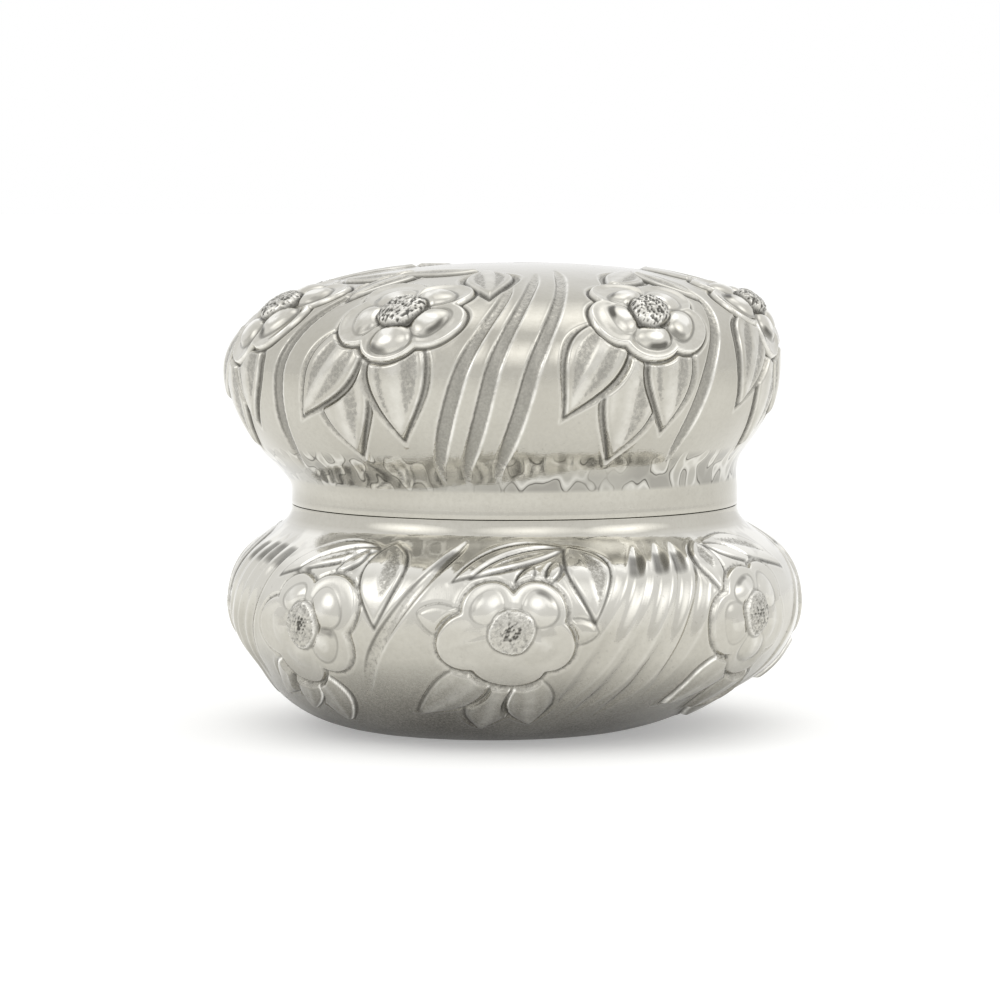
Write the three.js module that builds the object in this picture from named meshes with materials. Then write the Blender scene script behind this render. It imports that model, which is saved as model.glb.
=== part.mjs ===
// Round lidded trinket box, hand raised and chased in silver: a bulging base bowl and a lift-off
// domed lid that meet at a narrow waist. Millimetres, +Z up, the box stands on z = 0 and the
// camera side is -Y. Azimuths are counted from -Y toward +X, in degrees.
import * as THREE from 'three';

// Outline, from the foot to the crown
const footRadius = 25.9;
const bowlRadius = 56.8;
const bowlWidestHeight = 24.1;
const waistRadius = 44.5;
const seamHeight = 44.3;
const lidRadius = 54.9;
const lidWidestHeight = 71.7;
const crownHeight = 92.2;
const mouthBand = 2.7; // straight band round the lid's mouth

// The hand-raised walls aren't quite true: each level's centre is off to one side by this much.
// The lean eases off over these shares of the way from the foot, and from the mouth, to the widest
const footLean = -4.6;
const lidLean = -2.4;
const crownLean = 0.8;
const footZoneShare = 0.6;
const lidZoneShare = 0.33;

// Sheet and soldered rings
const sheetGauge = 1.0;
const seamGap = 0.3; // between the lid's edge and the base's edge
const solderGap = 0.3; // between a soldered piece and the wall that carries it
const ringWidth = 1.6;
const ringHeight = 2.6;
const ringChamfer = 0.35;
const collarGauge = 0.9;
const collarRise = 5.0; // stands this far above the seam, inside the lid
const collarDepth = 3.4; // reaches this far below the seam, inside the base ring
const lidClearance = 0.3; // between the collar and the lid's ring
const discGauge = 1.1;
const mouthBeadProud = 0.2; // rolled edge of the lid
const mouthBeadHeight = 1.4;

// Chased work
const flowerRadius = 13.2;
const flowerSwell = 0.8; // the whole flower pushed up from behind
const bossRadius = 4.1;
const ditchWidth = 1.0; // chased line round the boss
const ditchDepth = 0.2;
const leafProud = 0.75;
const fluteDepth = 0.6;
const ridgeProud = 0.15; // between neighbouring flutes
const wideGapDegrees = 50;
const gapFillShare = 0.95; // of the gap between two cells that its flutes may take

// Petals as directions from the right, anticlockwise, with their reach as shares of flowerRadius
const petalCount = 5;

function evenPetals(first) {
  return Array.from({ length: petalCount }, (_, k) => ({
    direction: first + (360 * k) / petalCount,
    reachShare: 1,
  }));
}

function petals(directions, reachShares) {
  return directions.map((direction, k) => ({ direction, reachShare: reachShares[k] }));
}

// Flowers: azimuth, height as a share of the wall's arc, petals, and directions of the leaves
const lidLeaves = [-126, -100, -76, 54, 102];
const lidSpreadLeaves = [-139, -110, -92, 45, 84];
const lidFlowers = [
  [-67.5, 0.463, evenPetals(40), lidSpreadLeaves],
  [-26, 0.484, petals([47, 124, 204, 279, 341], [0.91, 1.02, 1, 0.99, 0.93]), lidLeaves],
  [35.3, 0.4765, petals([38, 109, 181, 255, 326], [1.01, 1, 1.07, 0.98, 1]), lidSpreadLeaves],
  [76.5, 0.469, evenPetals(33), lidLeaves],
  [137, 0.48, evenPetals(52), lidSpreadLeaves],
  [178, 0.471, evenPetals(18), lidLeaves],
  [236, 0.478, evenPetals(36), lidLeaves],
];
const bowlLeaves = [-130, -105, -79, 35, 90];
const bowlSpreadLeaves = [-125, -107, -85, 30, 75];
const bowlBackLeaves = [-129, -106, -90, 70, 130];
const bowlFlowers = [
  [-46, 0.622, petals([32, 107, 182, 250, 322], [1.13, 0.82, 0.97, 0.98, 1.06]), bowlSpreadLeaves],
  [-0.5, 0.62, petals([44, 128, 197, 262, 333], [0.8, 0.78, 1.1, 0.86, 0.97]), bowlLeaves],
  [55.5, 0.618, petals([45, 112, 190, 268, 338], [0.89, 0.8, 1.04, 0.93, 0.9]), bowlBackLeaves],
  [101, 0.632, evenPetals(50), bowlSpreadLeaves],
  [157, 0.626, evenPetals(28), bowlLeaves],
  [202, 0.638, evenPetals(44), bowlBackLeaves],
  [258, 0.629, evenPetals(56), bowlLeaves],
];

// Fineness of the faceted skins
const cellRows = 11;
const footColumns = 3;
const headColumns = 5;
const groundRingShares = [0.34, 0.68]; // from a flower's outline to its cell's edge
const spokeTurnShare = 0.4; // of the way from even spokes to ones that point at the cell's corners
const plainColumns = 72;
const crownColumns = [72, 48, 24];
const footRows = 3;
const liningColumns = 54;
const liningRows = 10;
const ringSegments = 60;
const curveSteps = 60;
const normalSteps = 240; // the outline's slope is read over two of these

// How each wall is worked. Places along it are shares of its arc length from its lower edge to its
// upper edge, and its flutes are degrees from the middle of their gap, at rowShare of the height.
// Each flower and its leaves fill a cell, which spreads farther where a wide gap comes before it
const lidWork = {
  rowShare: 0.48,
  footShare: 0.08,
  headShare: 0.76,
  cellLeft: 14.3,
  cellRight: 14.3,
  cellSpread: 3.5,
  turnDegrees: 27, // how far a flute leans round the wall from the lower edge to the upper edge
  wideFlutes: [-8.5, -2.2, 5.9],
  narrowFlutes: [-0.7],
  fluteDegrees: 2.4,
  bossProud: 2.6,
  petalProud: 1.3,
};
const bowlWork = {
  rowShare: 0.625,
  footShare: 0.2,
  headShare: 0.93,
  cellLeft: 16.3,
  cellRight: 17.3,
  cellSpread: 0,
  turnDegrees: 29,
  wideFlutes: [-7, -1, 4.2, 9.1],
  narrowFlutes: [-1.6],
  fluteDegrees: 2.2,
  bossProud: 1.3,
  petalProud: 1.0,
};

// Places on a flower, as shares of its reach or its height
const notchShare = 0.24; // how far the notches between the petals cut in
const petalInnerShare = 0.52;
const petalOuterShare = 0.83;
const bossEdgeShare = 0.75; // height of the boss at its rim, which is nearly upright

// Leaves sink toward their tips
const leafCrestShares = [1, 0.6];
const swellReachShare = 1.35;

const radians = THREE.MathUtils.degToRad;
const smooth = THREE.MathUtils.smoothstep;

function silver(colour, roughness) {
  return new THREE.MeshStandardMaterial({ color: colour, roughness, metalness: 1 });
}
const chasedSilver = silver(0xc9c6c0, 0.34);
const plainSilver = silver(0xd4d1cb, 0.26);
const innerSilver = silver(0xbdb9b2, 0.42);

// Outline curves in (radius, height); the handles are shares of each curve's run and rise
function curve(x0, y0, x1, y1, x2, y2, x3, y3) {
  return new THREE.CubicBezierCurve(
    new THREE.Vector2(x0, y0),
    new THREE.Vector2(x1, y1),
    new THREE.Vector2(x2, y2),
    new THREE.Vector2(x3, y3),
  );
}

const handleShares = {
  footRun: 0.38,
  bowlDrop: 0.49,
  bowlRise: 0.74,
  seamDrop: 0.325,
  bandRise: 0.3,
  lidDrop: 0.53,
  lidRise: 0.566,
  crownRun: 0.744,
};

function bowlOutline() {
  const rise = seamHeight - bowlWidestHeight;
  const belly = bowlRadius - footRadius;
  const outline = new THREE.CurvePath();
  outline.add(curve(
    footRadius, 0,
    footRadius + handleShares.footRun * belly, 0,
    bowlRadius, bowlWidestHeight * (1 - handleShares.bowlDrop),
    bowlRadius, bowlWidestHeight,
  ));
  outline.add(curve(
    bowlRadius, bowlWidestHeight,
    bowlRadius, bowlWidestHeight + handleShares.bowlRise * rise,
    waistRadius, seamHeight - handleShares.seamDrop * rise,
    waistRadius, seamHeight,
  ));
  return outline;
}

const lidEdgeHeight = seamHeight + seamGap;

function lidOutline() {
  const bandTop = lidEdgeHeight + mouthBand;
  const rise = lidWidestHeight - bandTop;
  const dome = crownHeight - lidWidestHeight;
  const outline = new THREE.CurvePath();
  outline.add(new THREE.LineCurve(
    new THREE.Vector2(waistRadius, lidEdgeHeight),
    new THREE.Vector2(waistRadius, bandTop),
  ));
  outline.add(curve(
    waistRadius, bandTop,
    waistRadius, bandTop + handleShares.bandRise * rise,
    lidRadius, lidWidestHeight - handleShares.lidDrop * rise,
    lidRadius, lidWidestHeight,
  ));
  outline.add(curve(
    lidRadius, lidWidestHeight,
    lidRadius, lidWidestHeight + handleShares.lidRise * dome,
    handleShares.crownRun * lidRadius, crownHeight,
    0, crownHeight,
  ));
  return outline;
}

// Centre of the wall at a height: true round the seam and its rings, leaning away from them
function leanAt(height) {
  const footZone = bowlWidestHeight * footZoneShare;
  const lidStart = lidEdgeHeight + Math.max(mouthBand, ringHeight);
  const lidEnd = lidStart + (lidWidestHeight - lidStart) * lidZoneShare;
  const low = footLean * (1 - smooth(height, 0, footZone));
  const high = lidLean * smooth(height, lidStart, lidEnd);
  const crown = (crownLean - lidLean) * smooth(height, lidWidestHeight, crownHeight);
  return low + high + crown;
}

// A wall is an outline read by its arc share, with its outward normal, its work and its flowers
function wall(outline, work, flowerRows) {
  outline.arcLengthDivisions = curveSteps;
  const length = outline.getLength();
  const placeAt = (share) => outline.getPointAt(THREE.MathUtils.clamp(share, 0, 1));
  const normalAt = (share) => {
    const step = 1 / normalSteps;
    const run = placeAt(share + step).sub(placeAt(share - step)).normalize();
    return new THREE.Vector2(run.y, -run.x);
  };
  const degreesRound = (width) => THREE.MathUtils.radToDeg(width / placeAt(work.rowShare).x);
  const flowers = flowerRows.map(([azimuth, share, lobes, leaves], i) => {
    const spread = isWideGap(flowerRows.at(i - 1)[0], azimuth) ? work.cellSpread : 0;
    const cellStart = azimuth - degreesRound(work.cellLeft + spread);
    const cellEnd = azimuth + degreesRound(work.cellRight);
    return { azimuth, share, lobes, leaves, cellStart, cellEnd };
  });
  return { length, placeAt, normalAt, work, flowers };
}

function turnAhead(from, to) {
  return THREE.MathUtils.euclideanModulo(to - from, 360);
}

function isWideGap(azimuth, next) {
  return turnAhead(azimuth, next) > wideGapDegrees;
}

function turnsBetween(azimuth, other) {
  return THREE.MathUtils.euclideanModulo(azimuth - other + 180, 360) - 180;
}

// How far round the wall a line has leaned at a share of its height
function turnAt(skin, share) {
  return skin.work.turnDegrees * (share - skin.work.rowShare);
}

// Rounded hump of unit height that falls to nothing at one radius
function hump(distanceShare) {
  const t = Math.min(Math.abs(distanceShare), 1);
  return (1 - t * t) ** 2;
}

// Flowers and leaves are laid out flat: x to the right and y up the wall, from a flower's centre
function flatPlace(skin, flower, azimuth, share) {
  const radius = skin.placeAt(share).x;
  return new THREE.Vector2(
    radius * radians(turnsBetween(azimuth, flower.azimuth)),
    (share - flower.share) * skin.length,
  );
}

function swellAt(skin, azimuth, share) {
  return skin.flowers.reduce((swell, flower) => {
    const distance = flatPlace(skin, flower, azimuth, share).length();
    return swell + flowerSwell * hump(distance / (flowerRadius * swellReachShare));
  }, 0);
}

function pointOn(skin, azimuth, share, lift) {
  const place = skin.placeAt(share);
  const normal = skin.normalAt(share);
  const radius = Math.max(place.x + normal.x * lift, 0);
  const angle = radians(azimuth);
  return new THREE.Vector3(
    radius * Math.sin(angle) + leanAt(place.y),
    -radius * Math.cos(angle),
    place.y + normal.y * lift,
  );
}

// A body's faces, gathered ring by ring. A ring holds its points' numbers and their azimuths,
// which are counted without the wall's turn, so that rings at any height can be zipped together
class SkinMesh {
  positions = [];
  faces = [];

  addPoint(point) {
    this.positions.push(point.x, point.y, point.z);
    return this.positions.length / 3 - 1;
  }

  distance(a, b) {
    const [from, to] = [a, b].map((id) => new THREE.Vector3().fromArray(this.positions, 3 * id));
    return from.distanceTo(to);
  }

  // Four corners in turn, folded along their shorter diagonal
  addQuad(a, b, c, d) {
    if (this.distance(a, c) <= this.distance(b, d)) {
      this.faces.push(a, b, c, a, c, d);
    } else {
      this.faces.push(a, b, d, b, c, d);
    }
  }

  zip(lower, upper) {
    const goesRound = (ring) => (ring.ids.length > 1 ? ring.ids.length : 0);
    const azimuthAt = (ring, i) => ring.azimuths[i % ring.ids.length] + (i < ring.ids.length ? 0 : 360);
    const idAt = (ring, i) => ring.ids[i % ring.ids.length];
    let a = 0;
    let b = 0;
    while (a < goesRound(lower) || b < goesRound(upper)) {
      const upperDone = b >= goesRound(upper);
      const lowerNext = a < goesRound(lower) && azimuthAt(lower, a + 1) <= azimuthAt(upper, b + 1);
      const corner = [idAt(lower, a), idAt(upper, b)];
      if (upperDone || lowerNext) {
        a += 1;
        this.faces.push(corner[0], idAt(lower, a), corner[1]);
      } else {
        b += 1;
        this.faces.push(corner[0], idAt(upper, b), corner[1]);
      }
    }
  }

  zipAll(rings) {
    rings.slice(1).forEach((ring, i) => this.zip(rings[i], ring));
  }

  geometry() {
    const geometry = new THREE.BufferGeometry();
    geometry.setAttribute('position', new THREE.Float32BufferAttribute(this.positions, 3));
    geometry.setIndex(this.faces);
    geometry.computeVertexNormals();
    return geometry;
  }
}

function ringOn(mesh, skin, share, azimuths, liftAt) {
  const turn = turnAt(skin, share);
  const ids = azimuths.map((azimuth) => {
    const turned = azimuth + turn;
    return mesh.addPoint(pointOn(skin, turned, share, liftAt(turned)));
  });
  return { ids, azimuths };
}

// A plain ring follows only the flowers' swell, raised by proud
function plainRing(mesh, skin, share, azimuths, proud) {
  return ringOn(mesh, skin, share, azimuths, (azimuth) => proud + swellAt(skin, azimuth, share));
}

function sharesBetween(from, to, steps) {
  return Array.from({ length: steps + 1 }, (_, i) => from + ((to - from) * i) / steps);
}

function evenAzimuths(first, count) {
  return Array.from({ length: count }, (_, i) => first + (360 * i) / count);
}

// The upright lines between two flowers: cell edge, then ridge and floor in turn, then cell edge
function gapLines(skin, index) {
  const { flowers, work } = skin;
  const before = flowers[index];
  const after = flowers[(index + 1) % flowers.length];
  const width = turnAhead(before.azimuth, after.azimuth);
  const middle = before.azimuth + width / 2;
  const from = before.cellEnd;
  const to = before.azimuth + width + (after.cellStart - after.azimuth);
  const floors = isWideGap(before.azimuth, after.azimuth) ? work.wideFlutes : work.narrowFlutes;
  const ridges = [
    floors[0] - work.fluteDegrees,
    ...floors.slice(1).map((floor, k) => (floor + floors[k]) / 2),
    floors.at(-1) + work.fluteDegrees,
  ];
  const fit = Math.min(
    1,
    (gapFillShare * (middle - from)) / -ridges[0],
    (gapFillShare * (to - middle)) / ridges.at(-1),
  );
  const line = (azimuth, proud) => ({ azimuth: middle + azimuth * fit, proud });
  const lines = floors.flatMap((floor, k) => [line(ridges[k], ridgeProud), line(floor, -fluteDepth)]);
  return [
    { azimuth: from, proud: 0 },
    ...lines,
    line(ridges.at(-1), ridgeProud),
    { azimuth: to, proud: 0 },
  ];
}

function addLine(mesh, skin, rows, line) {
  const ids = rows.map((share, i) => {
    const azimuth = line.azimuth + turnAt(skin, share);
    const fade = Math.sin((Math.PI * i) / (rows.length - 1));
    const lift = swellAt(skin, azimuth, share) + line.proud * Math.sqrt(fade);
    return mesh.addPoint(pointOn(skin, azimuth, share, lift));
  });
  return { ...line, ids };
}

// Points along a cell's foot or head, between its two upright edges
function addCellEnd(mesh, skin, share, fromAzimuth, toAzimuth, columns) {
  const inner = sharesBetween(fromAzimuth, toAzimuth, columns).slice(1, -1);
  return plainRing(mesh, skin, share, inner, 0);
}

function nearestTo(direction, others) {
  const turns = others.map((other) => Math.abs(turnsBetween(other, direction)));
  return turns.indexOf(Math.min(...turns));
}

// Spokes of a flower, drawn to its petals' middle lines and to the notches between them. Each has
// its direction, its lobe (1 on a petal's middle line, 0 in a notch) and the petals' reach there
function flowerSpokes(lobes, edge) {
  const angles = edge.map(({ x, y }) => THREE.MathUtils.radToDeg(Math.atan2(y, x)));
  const spread = angles.map((angle, i) => {
    const even = (360 * i) / edge.length;
    return angles[0] + THREE.MathUtils.lerp(even, turnAhead(angles[0], angle), spokeTurnShare);
  });
  const marks = lobes.flatMap(({ direction, reachShare }, k) => {
    const next = lobes[(k + 1) % lobes.length];
    const half = turnAhead(direction, next.direction) / 2;
    return [
      { direction, lobe: 1, reachShare },
      { direction: direction + half, lobe: 0, reachShare: (reachShare + next.reachShare) / 2 },
    ];
  });
  const snapped = marks.map(({ direction }) => spread[nearestTo(direction, spread)]);
  return spread.map((spoke) => {
    const passed = snapped.map((place) => turnAhead(place, spoke));
    const k = passed.indexOf(Math.min(...passed));
    const mark = marks[k];
    const next = marks[(k + 1) % marks.length];
    const share = passed[k] / turnAhead(snapped[k], snapped[(k + 1) % marks.length]);
    const roundness = mark.lobe ? Math.cos(share * Math.PI / 2) : Math.sin(share * Math.PI / 2);
    return {
      direction: mark.direction + share * turnAhead(mark.direction, next.direction),
      lobe: roundness,
      reachShare: THREE.MathUtils.lerp(mark.reachShare, next.reachShare, share),
    };
  });
}

// Rings of a flower from its boss outward: radius, height, how far the notches cut in, how far
// the furrows between the petals cut down, and whether the ring follows each petal's own reach
function flowerRings(work) {
  const { bossProud, petalProud } = work;
  return [
    { radius: bossRadius, proud: bossProud * bossEdgeShare, notch: 0, furrow: 0, follows: 0 },
    { radius: bossRadius + ditchWidth, proud: -ditchDepth, notch: 0, furrow: 0, follows: 0 },
    { radius: flowerRadius * petalInnerShare, proud: petalProud, notch: 0, furrow: 1, follows: 0 },
    { radius: flowerRadius * petalOuterShare, proud: petalProud, notch: notchShare, furrow: 1, follows: 1 },
    { radius: flowerRadius, proud: 0, notch: notchShare, furrow: 0, follows: 1 },
  ];
}

// One flower with its leaves, in rings that open from its centre to the edge of its cell
function addFlower(mesh, skin, flower, edge) {
  const sectors = edge.length;
  const put = (x, y, proud) => {
    const share = flower.share + y / skin.length;
    const azimuth = flower.azimuth + THREE.MathUtils.radToDeg(x / skin.placeAt(share).x);
    return mesh.addPoint(pointOn(skin, azimuth, share, swellAt(skin, azimuth, share) + proud));
  };
  const spokes = flowerSpokes(flower.lobes, edge);
  const rims = flowerRings(skin.work).map((ring) => spokes.map(({ direction, lobe, reachShare }) => {
    const grown = THREE.MathUtils.lerp(1, reachShare, ring.follows);
    const reach = ring.radius * grown * (1 - ring.notch * (1 - lobe));
    const proud = ring.proud * (1 - ring.furrow * (1 - lobe));
    return { x: reach * Math.cos(radians(direction)), y: reach * Math.sin(radians(direction)), proud };
  }));
  const outline = rims[rims.length - 1];
  const spokeDirections = spokes.map(({ direction }) => direction);
  const crests = flower.leaves.map((leaf) => nearestTo(leaf, spokeDirections));
  groundRingShares.forEach((part, k) => rims.push(outline.map((place, i) => ({
    x: THREE.MathUtils.lerp(place.x, edge[i].x, part),
    y: THREE.MathUtils.lerp(place.y, edge[i].y, part),
    proud: crests.includes(i) ? leafProud * leafCrestShares[k] : 0,
  }))));
  const rings = rims.map((rim) => rim.map((place) => put(place.x, place.y, place.proud)));
  rings.push(edge.map((place) => place.id));
  const middle = put(0, 0, skin.work.bossProud);
  rings[0].forEach((id, i) => mesh.faces.push(middle, id, rings[0][(i + 1) % sectors]));
  rings.slice(1).forEach((outer, k) => outer.forEach((id, i) => {
    const next = (i + 1) % sectors;
    mesh.addQuad(rings[k][i], id, outer[next], rings[k][next]);
  }));
}

// The chased band of a wall: flower cells and fluted gaps by turns. Gives its two end rings
function addChasedBand(mesh, skin) {
  const { footShare, headShare } = skin.work;
  const rows = sharesBetween(footShare, headShare, cellRows);
  const gaps = skin.flowers
    .map((_, i) => gapLines(skin, i).map((line) => addLine(mesh, skin, rows, line)));
  gaps.forEach((lines) => lines.slice(1).forEach((line, k) => {
    const before = lines[k].ids;
    rows.slice(1).forEach((_, i) => mesh.addQuad(before[i], line.ids[i], line.ids[i + 1], before[i + 1]));
  }));
  const foot = { ids: [], azimuths: [] };
  const head = { ids: [], azimuths: [] };
  const extend = (ring, ids, azimuths) => {
    ring.ids.push(...ids);
    ring.azimuths.push(...azimuths);
  };
  skin.flowers.forEach((flower, index) => {
    const left = gaps[(index + gaps.length - 1) % gaps.length].at(-1);
    const right = gaps[index][0];
    const from = flower.cellStart;
    const to = flower.cellEnd;
    const cellFoot = addCellEnd(mesh, skin, footShare, from, to, footColumns);
    const cellHead = addCellEnd(mesh, skin, headShare, from, to, headColumns);
    const corner = (id, azimuth, share) => {
      const place = flatPlace(skin, flower, azimuth + turnAt(skin, share), share);
      return { id, x: place.x, y: place.y };
    };
    const edge = [
      corner(left.ids[0], from, footShare),
      ...cellFoot.ids.map((id, i) => corner(id, cellFoot.azimuths[i], footShare)),
      ...right.ids.map((id, i) => corner(id, to, rows[i])),
      ...cellHead.ids.map((id, i) => corner(id, cellHead.azimuths[i], headShare)).reverse(),
      ...left.ids.map((id, i) => corner(id, from, rows[i])).reverse().slice(0, -1),
    ];
    addFlower(mesh, skin, flower, edge);
    extend(foot, [left.ids[0], ...cellFoot.ids], [from, ...cellFoot.azimuths]);
    extend(head, [left.ids.at(-1), ...cellHead.ids], [from, ...cellHead.azimuths]);
    const between = gaps[index].slice(0, -1);
    extend(foot, between.map((line) => line.ids[0]), between.map((line) => line.azimuth));
    extend(head, between.map((line) => line.ids.at(-1)), between.map((line) => line.azimuth));
  });
  return { foot, head };
}

function placeMesh(name, geometry, material) {
  const mesh = new THREE.Mesh(geometry, material);
  mesh.name = name;
  return mesh;
}

// Lid: from its rolled mouth up over the dome to the crown, then back down inside
function lidShell() {
  const skin = wall(lidOutline(), lidWork, lidFlowers);
  const mesh = new SkinMesh();
  const { foot, head } = addChasedBand(mesh, skin);
  const { footShare, headShare } = lidWork;
  const beadShare = mouthBeadHeight / skin.length;
  const first = foot.azimuths[0];
  const around = evenAzimuths(first, plainColumns);
  const lower = [
    plainRing(mesh, skin, 0, around, 0),
    plainRing(mesh, skin, beadShare / 2, around, mouthBeadProud),
    plainRing(mesh, skin, beadShare, around, 0),
    plainRing(mesh, skin, (beadShare + footShare) / 2, around, 0),
  ];
  const crownShares = sharesBetween(headShare, 1, crownColumns.length + 1).slice(1, -1);
  const crownRings = (proud) => crownShares
    .map((share, i) => plainRing(mesh, skin, share, evenAzimuths(first, crownColumns[i]), proud));
  const crownPoint = (proud) => ({ ids: [mesh.addPoint(pointOn(skin, 0, 1, proud))], azimuths: [first] });
  const liningTop = (headShare + crownShares[0]) / 2;
  const lining = sharesBetween(liningTop, beadShare, liningRows)
    .map((share) => plainRing(mesh, skin, share, evenAzimuths(first, liningColumns), -sheetGauge));
  const lip = plainRing(mesh, skin, 0, around, -sheetGauge);
  mesh.zipAll([...lower, foot]);
  mesh.zipAll([head, ...crownRings(0), crownPoint(0)]);
  const innerCrown = crownRings(-sheetGauge).slice(1).reverse();
  mesh.zipAll([crownPoint(-sheetGauge), ...innerCrown, ...lining, lip, lower[0]]);
  return placeMesh('lid_shell', mesh.geometry(), chasedSilver);
}

// Base: from the rim of its bottom opening out and up to the seam, then back down inside
function baseShell() {
  const skin = wall(bowlOutline(), bowlWork, bowlFlowers);
  const mesh = new SkinMesh();
  const { foot, head } = addChasedBand(mesh, skin);
  const first = foot.azimuths[0];
  const around = evenAzimuths(first, plainColumns);
  const lower = sharesBetween(0, bowlWork.footShare, footRows).slice(0, -1)
    .map((share) => plainRing(mesh, skin, share, around, 0));
  const brim = plainRing(mesh, skin, 1, around, 0);
  const lip = plainRing(mesh, skin, 1, around, -sheetGauge);
  const lining = sharesBetween(1, 0, liningRows).slice(1)
    .map((share, i) => {
      const columns = i + 1 < liningRows ? liningColumns : plainColumns;
      return plainRing(mesh, skin, share, evenAzimuths(first, columns), -sheetGauge);
    });
  mesh.zipAll([...lower, foot]);
  mesh.zipAll([head, brim, lip, ...lining, lower[0]]);
  return placeMesh('base_shell', mesh.geometry(), chasedSilver);
}

// Turned pieces: a closed section in (radius, height) spun round the vertical axis
function turned(name, section, material) {
  const points = [...section, section[0]].map(([radius, height]) => new THREE.Vector2(radius, height));
  const geometry = new THREE.LatheGeometry(points, ringSegments);
  geometry.rotateX(Math.PI / 2);
  return placeMesh(name, geometry, material);
}

const ringOuterRadius = waistRadius - sheetGauge - solderGap;
const ringInnerRadius = ringOuterRadius - ringWidth;
const collarOuterRadius = ringInnerRadius - Math.max(lidClearance, solderGap);
const collarInnerRadius = collarOuterRadius - collarGauge;

function mouthRing(name, bottom, chamferTop) {
  const top = bottom + ringHeight;
  const eased = chamferTop ? top - ringChamfer : bottom + ringChamfer;
  const section = chamferTop
    ? [
      [ringInnerRadius, bottom],
      [ringOuterRadius, bottom],
      [ringOuterRadius, top],
      [ringInnerRadius + ringChamfer, top],
      [ringInnerRadius, eased],
    ]
    : [
      [ringInnerRadius + ringChamfer, bottom],
      [ringOuterRadius, bottom],
      [ringOuterRadius, top],
      [ringInnerRadius, top],
      [ringInnerRadius, eased],
    ];
  return turned(name, section, plainSilver);
}

function locatingCollar() {
  const bottom = seamHeight - collarDepth;
  const top = seamHeight + collarRise;
  const lead = collarGauge / 2;
  return turned('locating_collar', [
    [collarInnerRadius, bottom],
    [collarOuterRadius, bottom],
    [collarOuterRadius, top - lead],
    [collarOuterRadius - lead, top],
    [collarInnerRadius, top],
  ], innerSilver);
}

function bottomDisc() {
  const disc = new THREE.CylinderGeometry(
    footRadius - solderGap,
    footRadius - solderGap,
    discGauge,
    ringSegments,
  );
  disc.rotateX(Math.PI / 2);
  const mesh = placeMesh('bottom_disc', disc, plainSilver);
  mesh.position.set(footLean, 0, discGauge / 2);
  return mesh;
}

const base = new THREE.Group();
base.name = 'base';
base.add(
  baseShell(),
  bottomDisc(),
  mouthRing('base_mouth_ring', seamHeight - ringHeight, false),
  locatingCollar(),
);

const lid = new THREE.Group();
lid.name = 'lid';
lid.add(lidShell(), mouthRing('lid_mouth_ring', lidEdgeHeight, true));

const trinketBox = new THREE.Group();
trinketBox.name = 'trinket_box';
trinketBox.add(base, lid);

export default trinketBox;
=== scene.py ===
# Round lidded trinket box, hand raised and chased in silver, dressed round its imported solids.
# Lengths are in millimetres up to the moment a mesh is made, and in metres after it. Azimuths are
# counted in degrees from the camera side, -Y, toward +X. A place on a wall is an azimuth and s,
# the length along the wall's outline: from the foot up on the base, from the mouth up on the lid.
import math
from types import SimpleNamespace

import bpy
import numpy as np
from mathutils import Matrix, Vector


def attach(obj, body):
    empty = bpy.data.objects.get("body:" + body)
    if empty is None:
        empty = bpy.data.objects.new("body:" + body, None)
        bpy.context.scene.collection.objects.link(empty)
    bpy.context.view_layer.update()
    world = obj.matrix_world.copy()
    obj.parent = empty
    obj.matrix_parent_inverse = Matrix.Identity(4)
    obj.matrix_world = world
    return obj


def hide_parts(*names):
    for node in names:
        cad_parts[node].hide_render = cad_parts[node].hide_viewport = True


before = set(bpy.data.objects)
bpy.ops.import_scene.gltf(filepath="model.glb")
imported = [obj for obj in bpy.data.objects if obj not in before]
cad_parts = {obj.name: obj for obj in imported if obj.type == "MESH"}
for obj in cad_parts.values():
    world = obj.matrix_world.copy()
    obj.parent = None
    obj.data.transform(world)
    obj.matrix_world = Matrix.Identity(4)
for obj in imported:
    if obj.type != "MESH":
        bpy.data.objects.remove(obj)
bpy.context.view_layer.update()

MM = 0.001
FULL_TURN = 360

# Outline, as in the part's source
FOOT_RADIUS = 25.9
BOWL_RADIUS = 56.8
BOWL_WIDEST = 24.1
WAIST_RADIUS = 44.5
SEAM_HEIGHT = 44.3
LID_EDGE = 44.6
MOUTH_BAND = 2.7
LID_RADIUS = 54.9
LID_WIDEST = 71.7
CROWN_HEIGHT = 92.2
FOOT_LEAN = -4.6
LID_LEAN = -2.4
CROWN_LEAN = 0.8
FOOT_ZONE_SHARE = 0.6
LID_ZONE_SHARE = 0.33
FOOT_RUN_SHARE = 0.38
BOWL_DROP_SHARE = 0.49
BOWL_RISE_SHARE = 0.74
SEAM_DROP_SHARE = 0.325
BAND_RISE_SHARE = 0.3
LID_DROP_SHARE = 0.53
LID_RISE_SHARE = 0.566
CROWN_RUN_SHARE = 0.744

# Sheet, rings and disc
GAUGE = 1.0
SOLDER_GAP = 0.3
RING_INNER = 41.6
RING_OUTER = 43.2
RING_HEIGHT = 2.6
RING_CHAMFER = 0.35
COLLAR_INNER = 40.4
COLLAR_OUTER = 41.3
COLLAR_BOTTOM = 40.9
COLLAR_TOP = 49.3
DISC_RADIUS = 25.6
DISC_GAUGE = 1.1
BEAD_PROUD = 0.05
BEAD_HEIGHT = 1.4

# Fineness of the walls
COLUMNS = 1200
ROW_STEP = 0.3
CURVE_STEPS = 600
RING_SEGMENTS = 240


def smooth(value, low=0.0, high=1.0):
    share = np.clip((value - low) / (high - low), 0, 1)
    return share * share * (3 - 2 * share)


def hump(share):
    return np.clip(1 - share * share, 0, None) ** 2


def ridge(value, place, width):
    return np.exp(-(((value - place) / width) ** 2))


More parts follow.
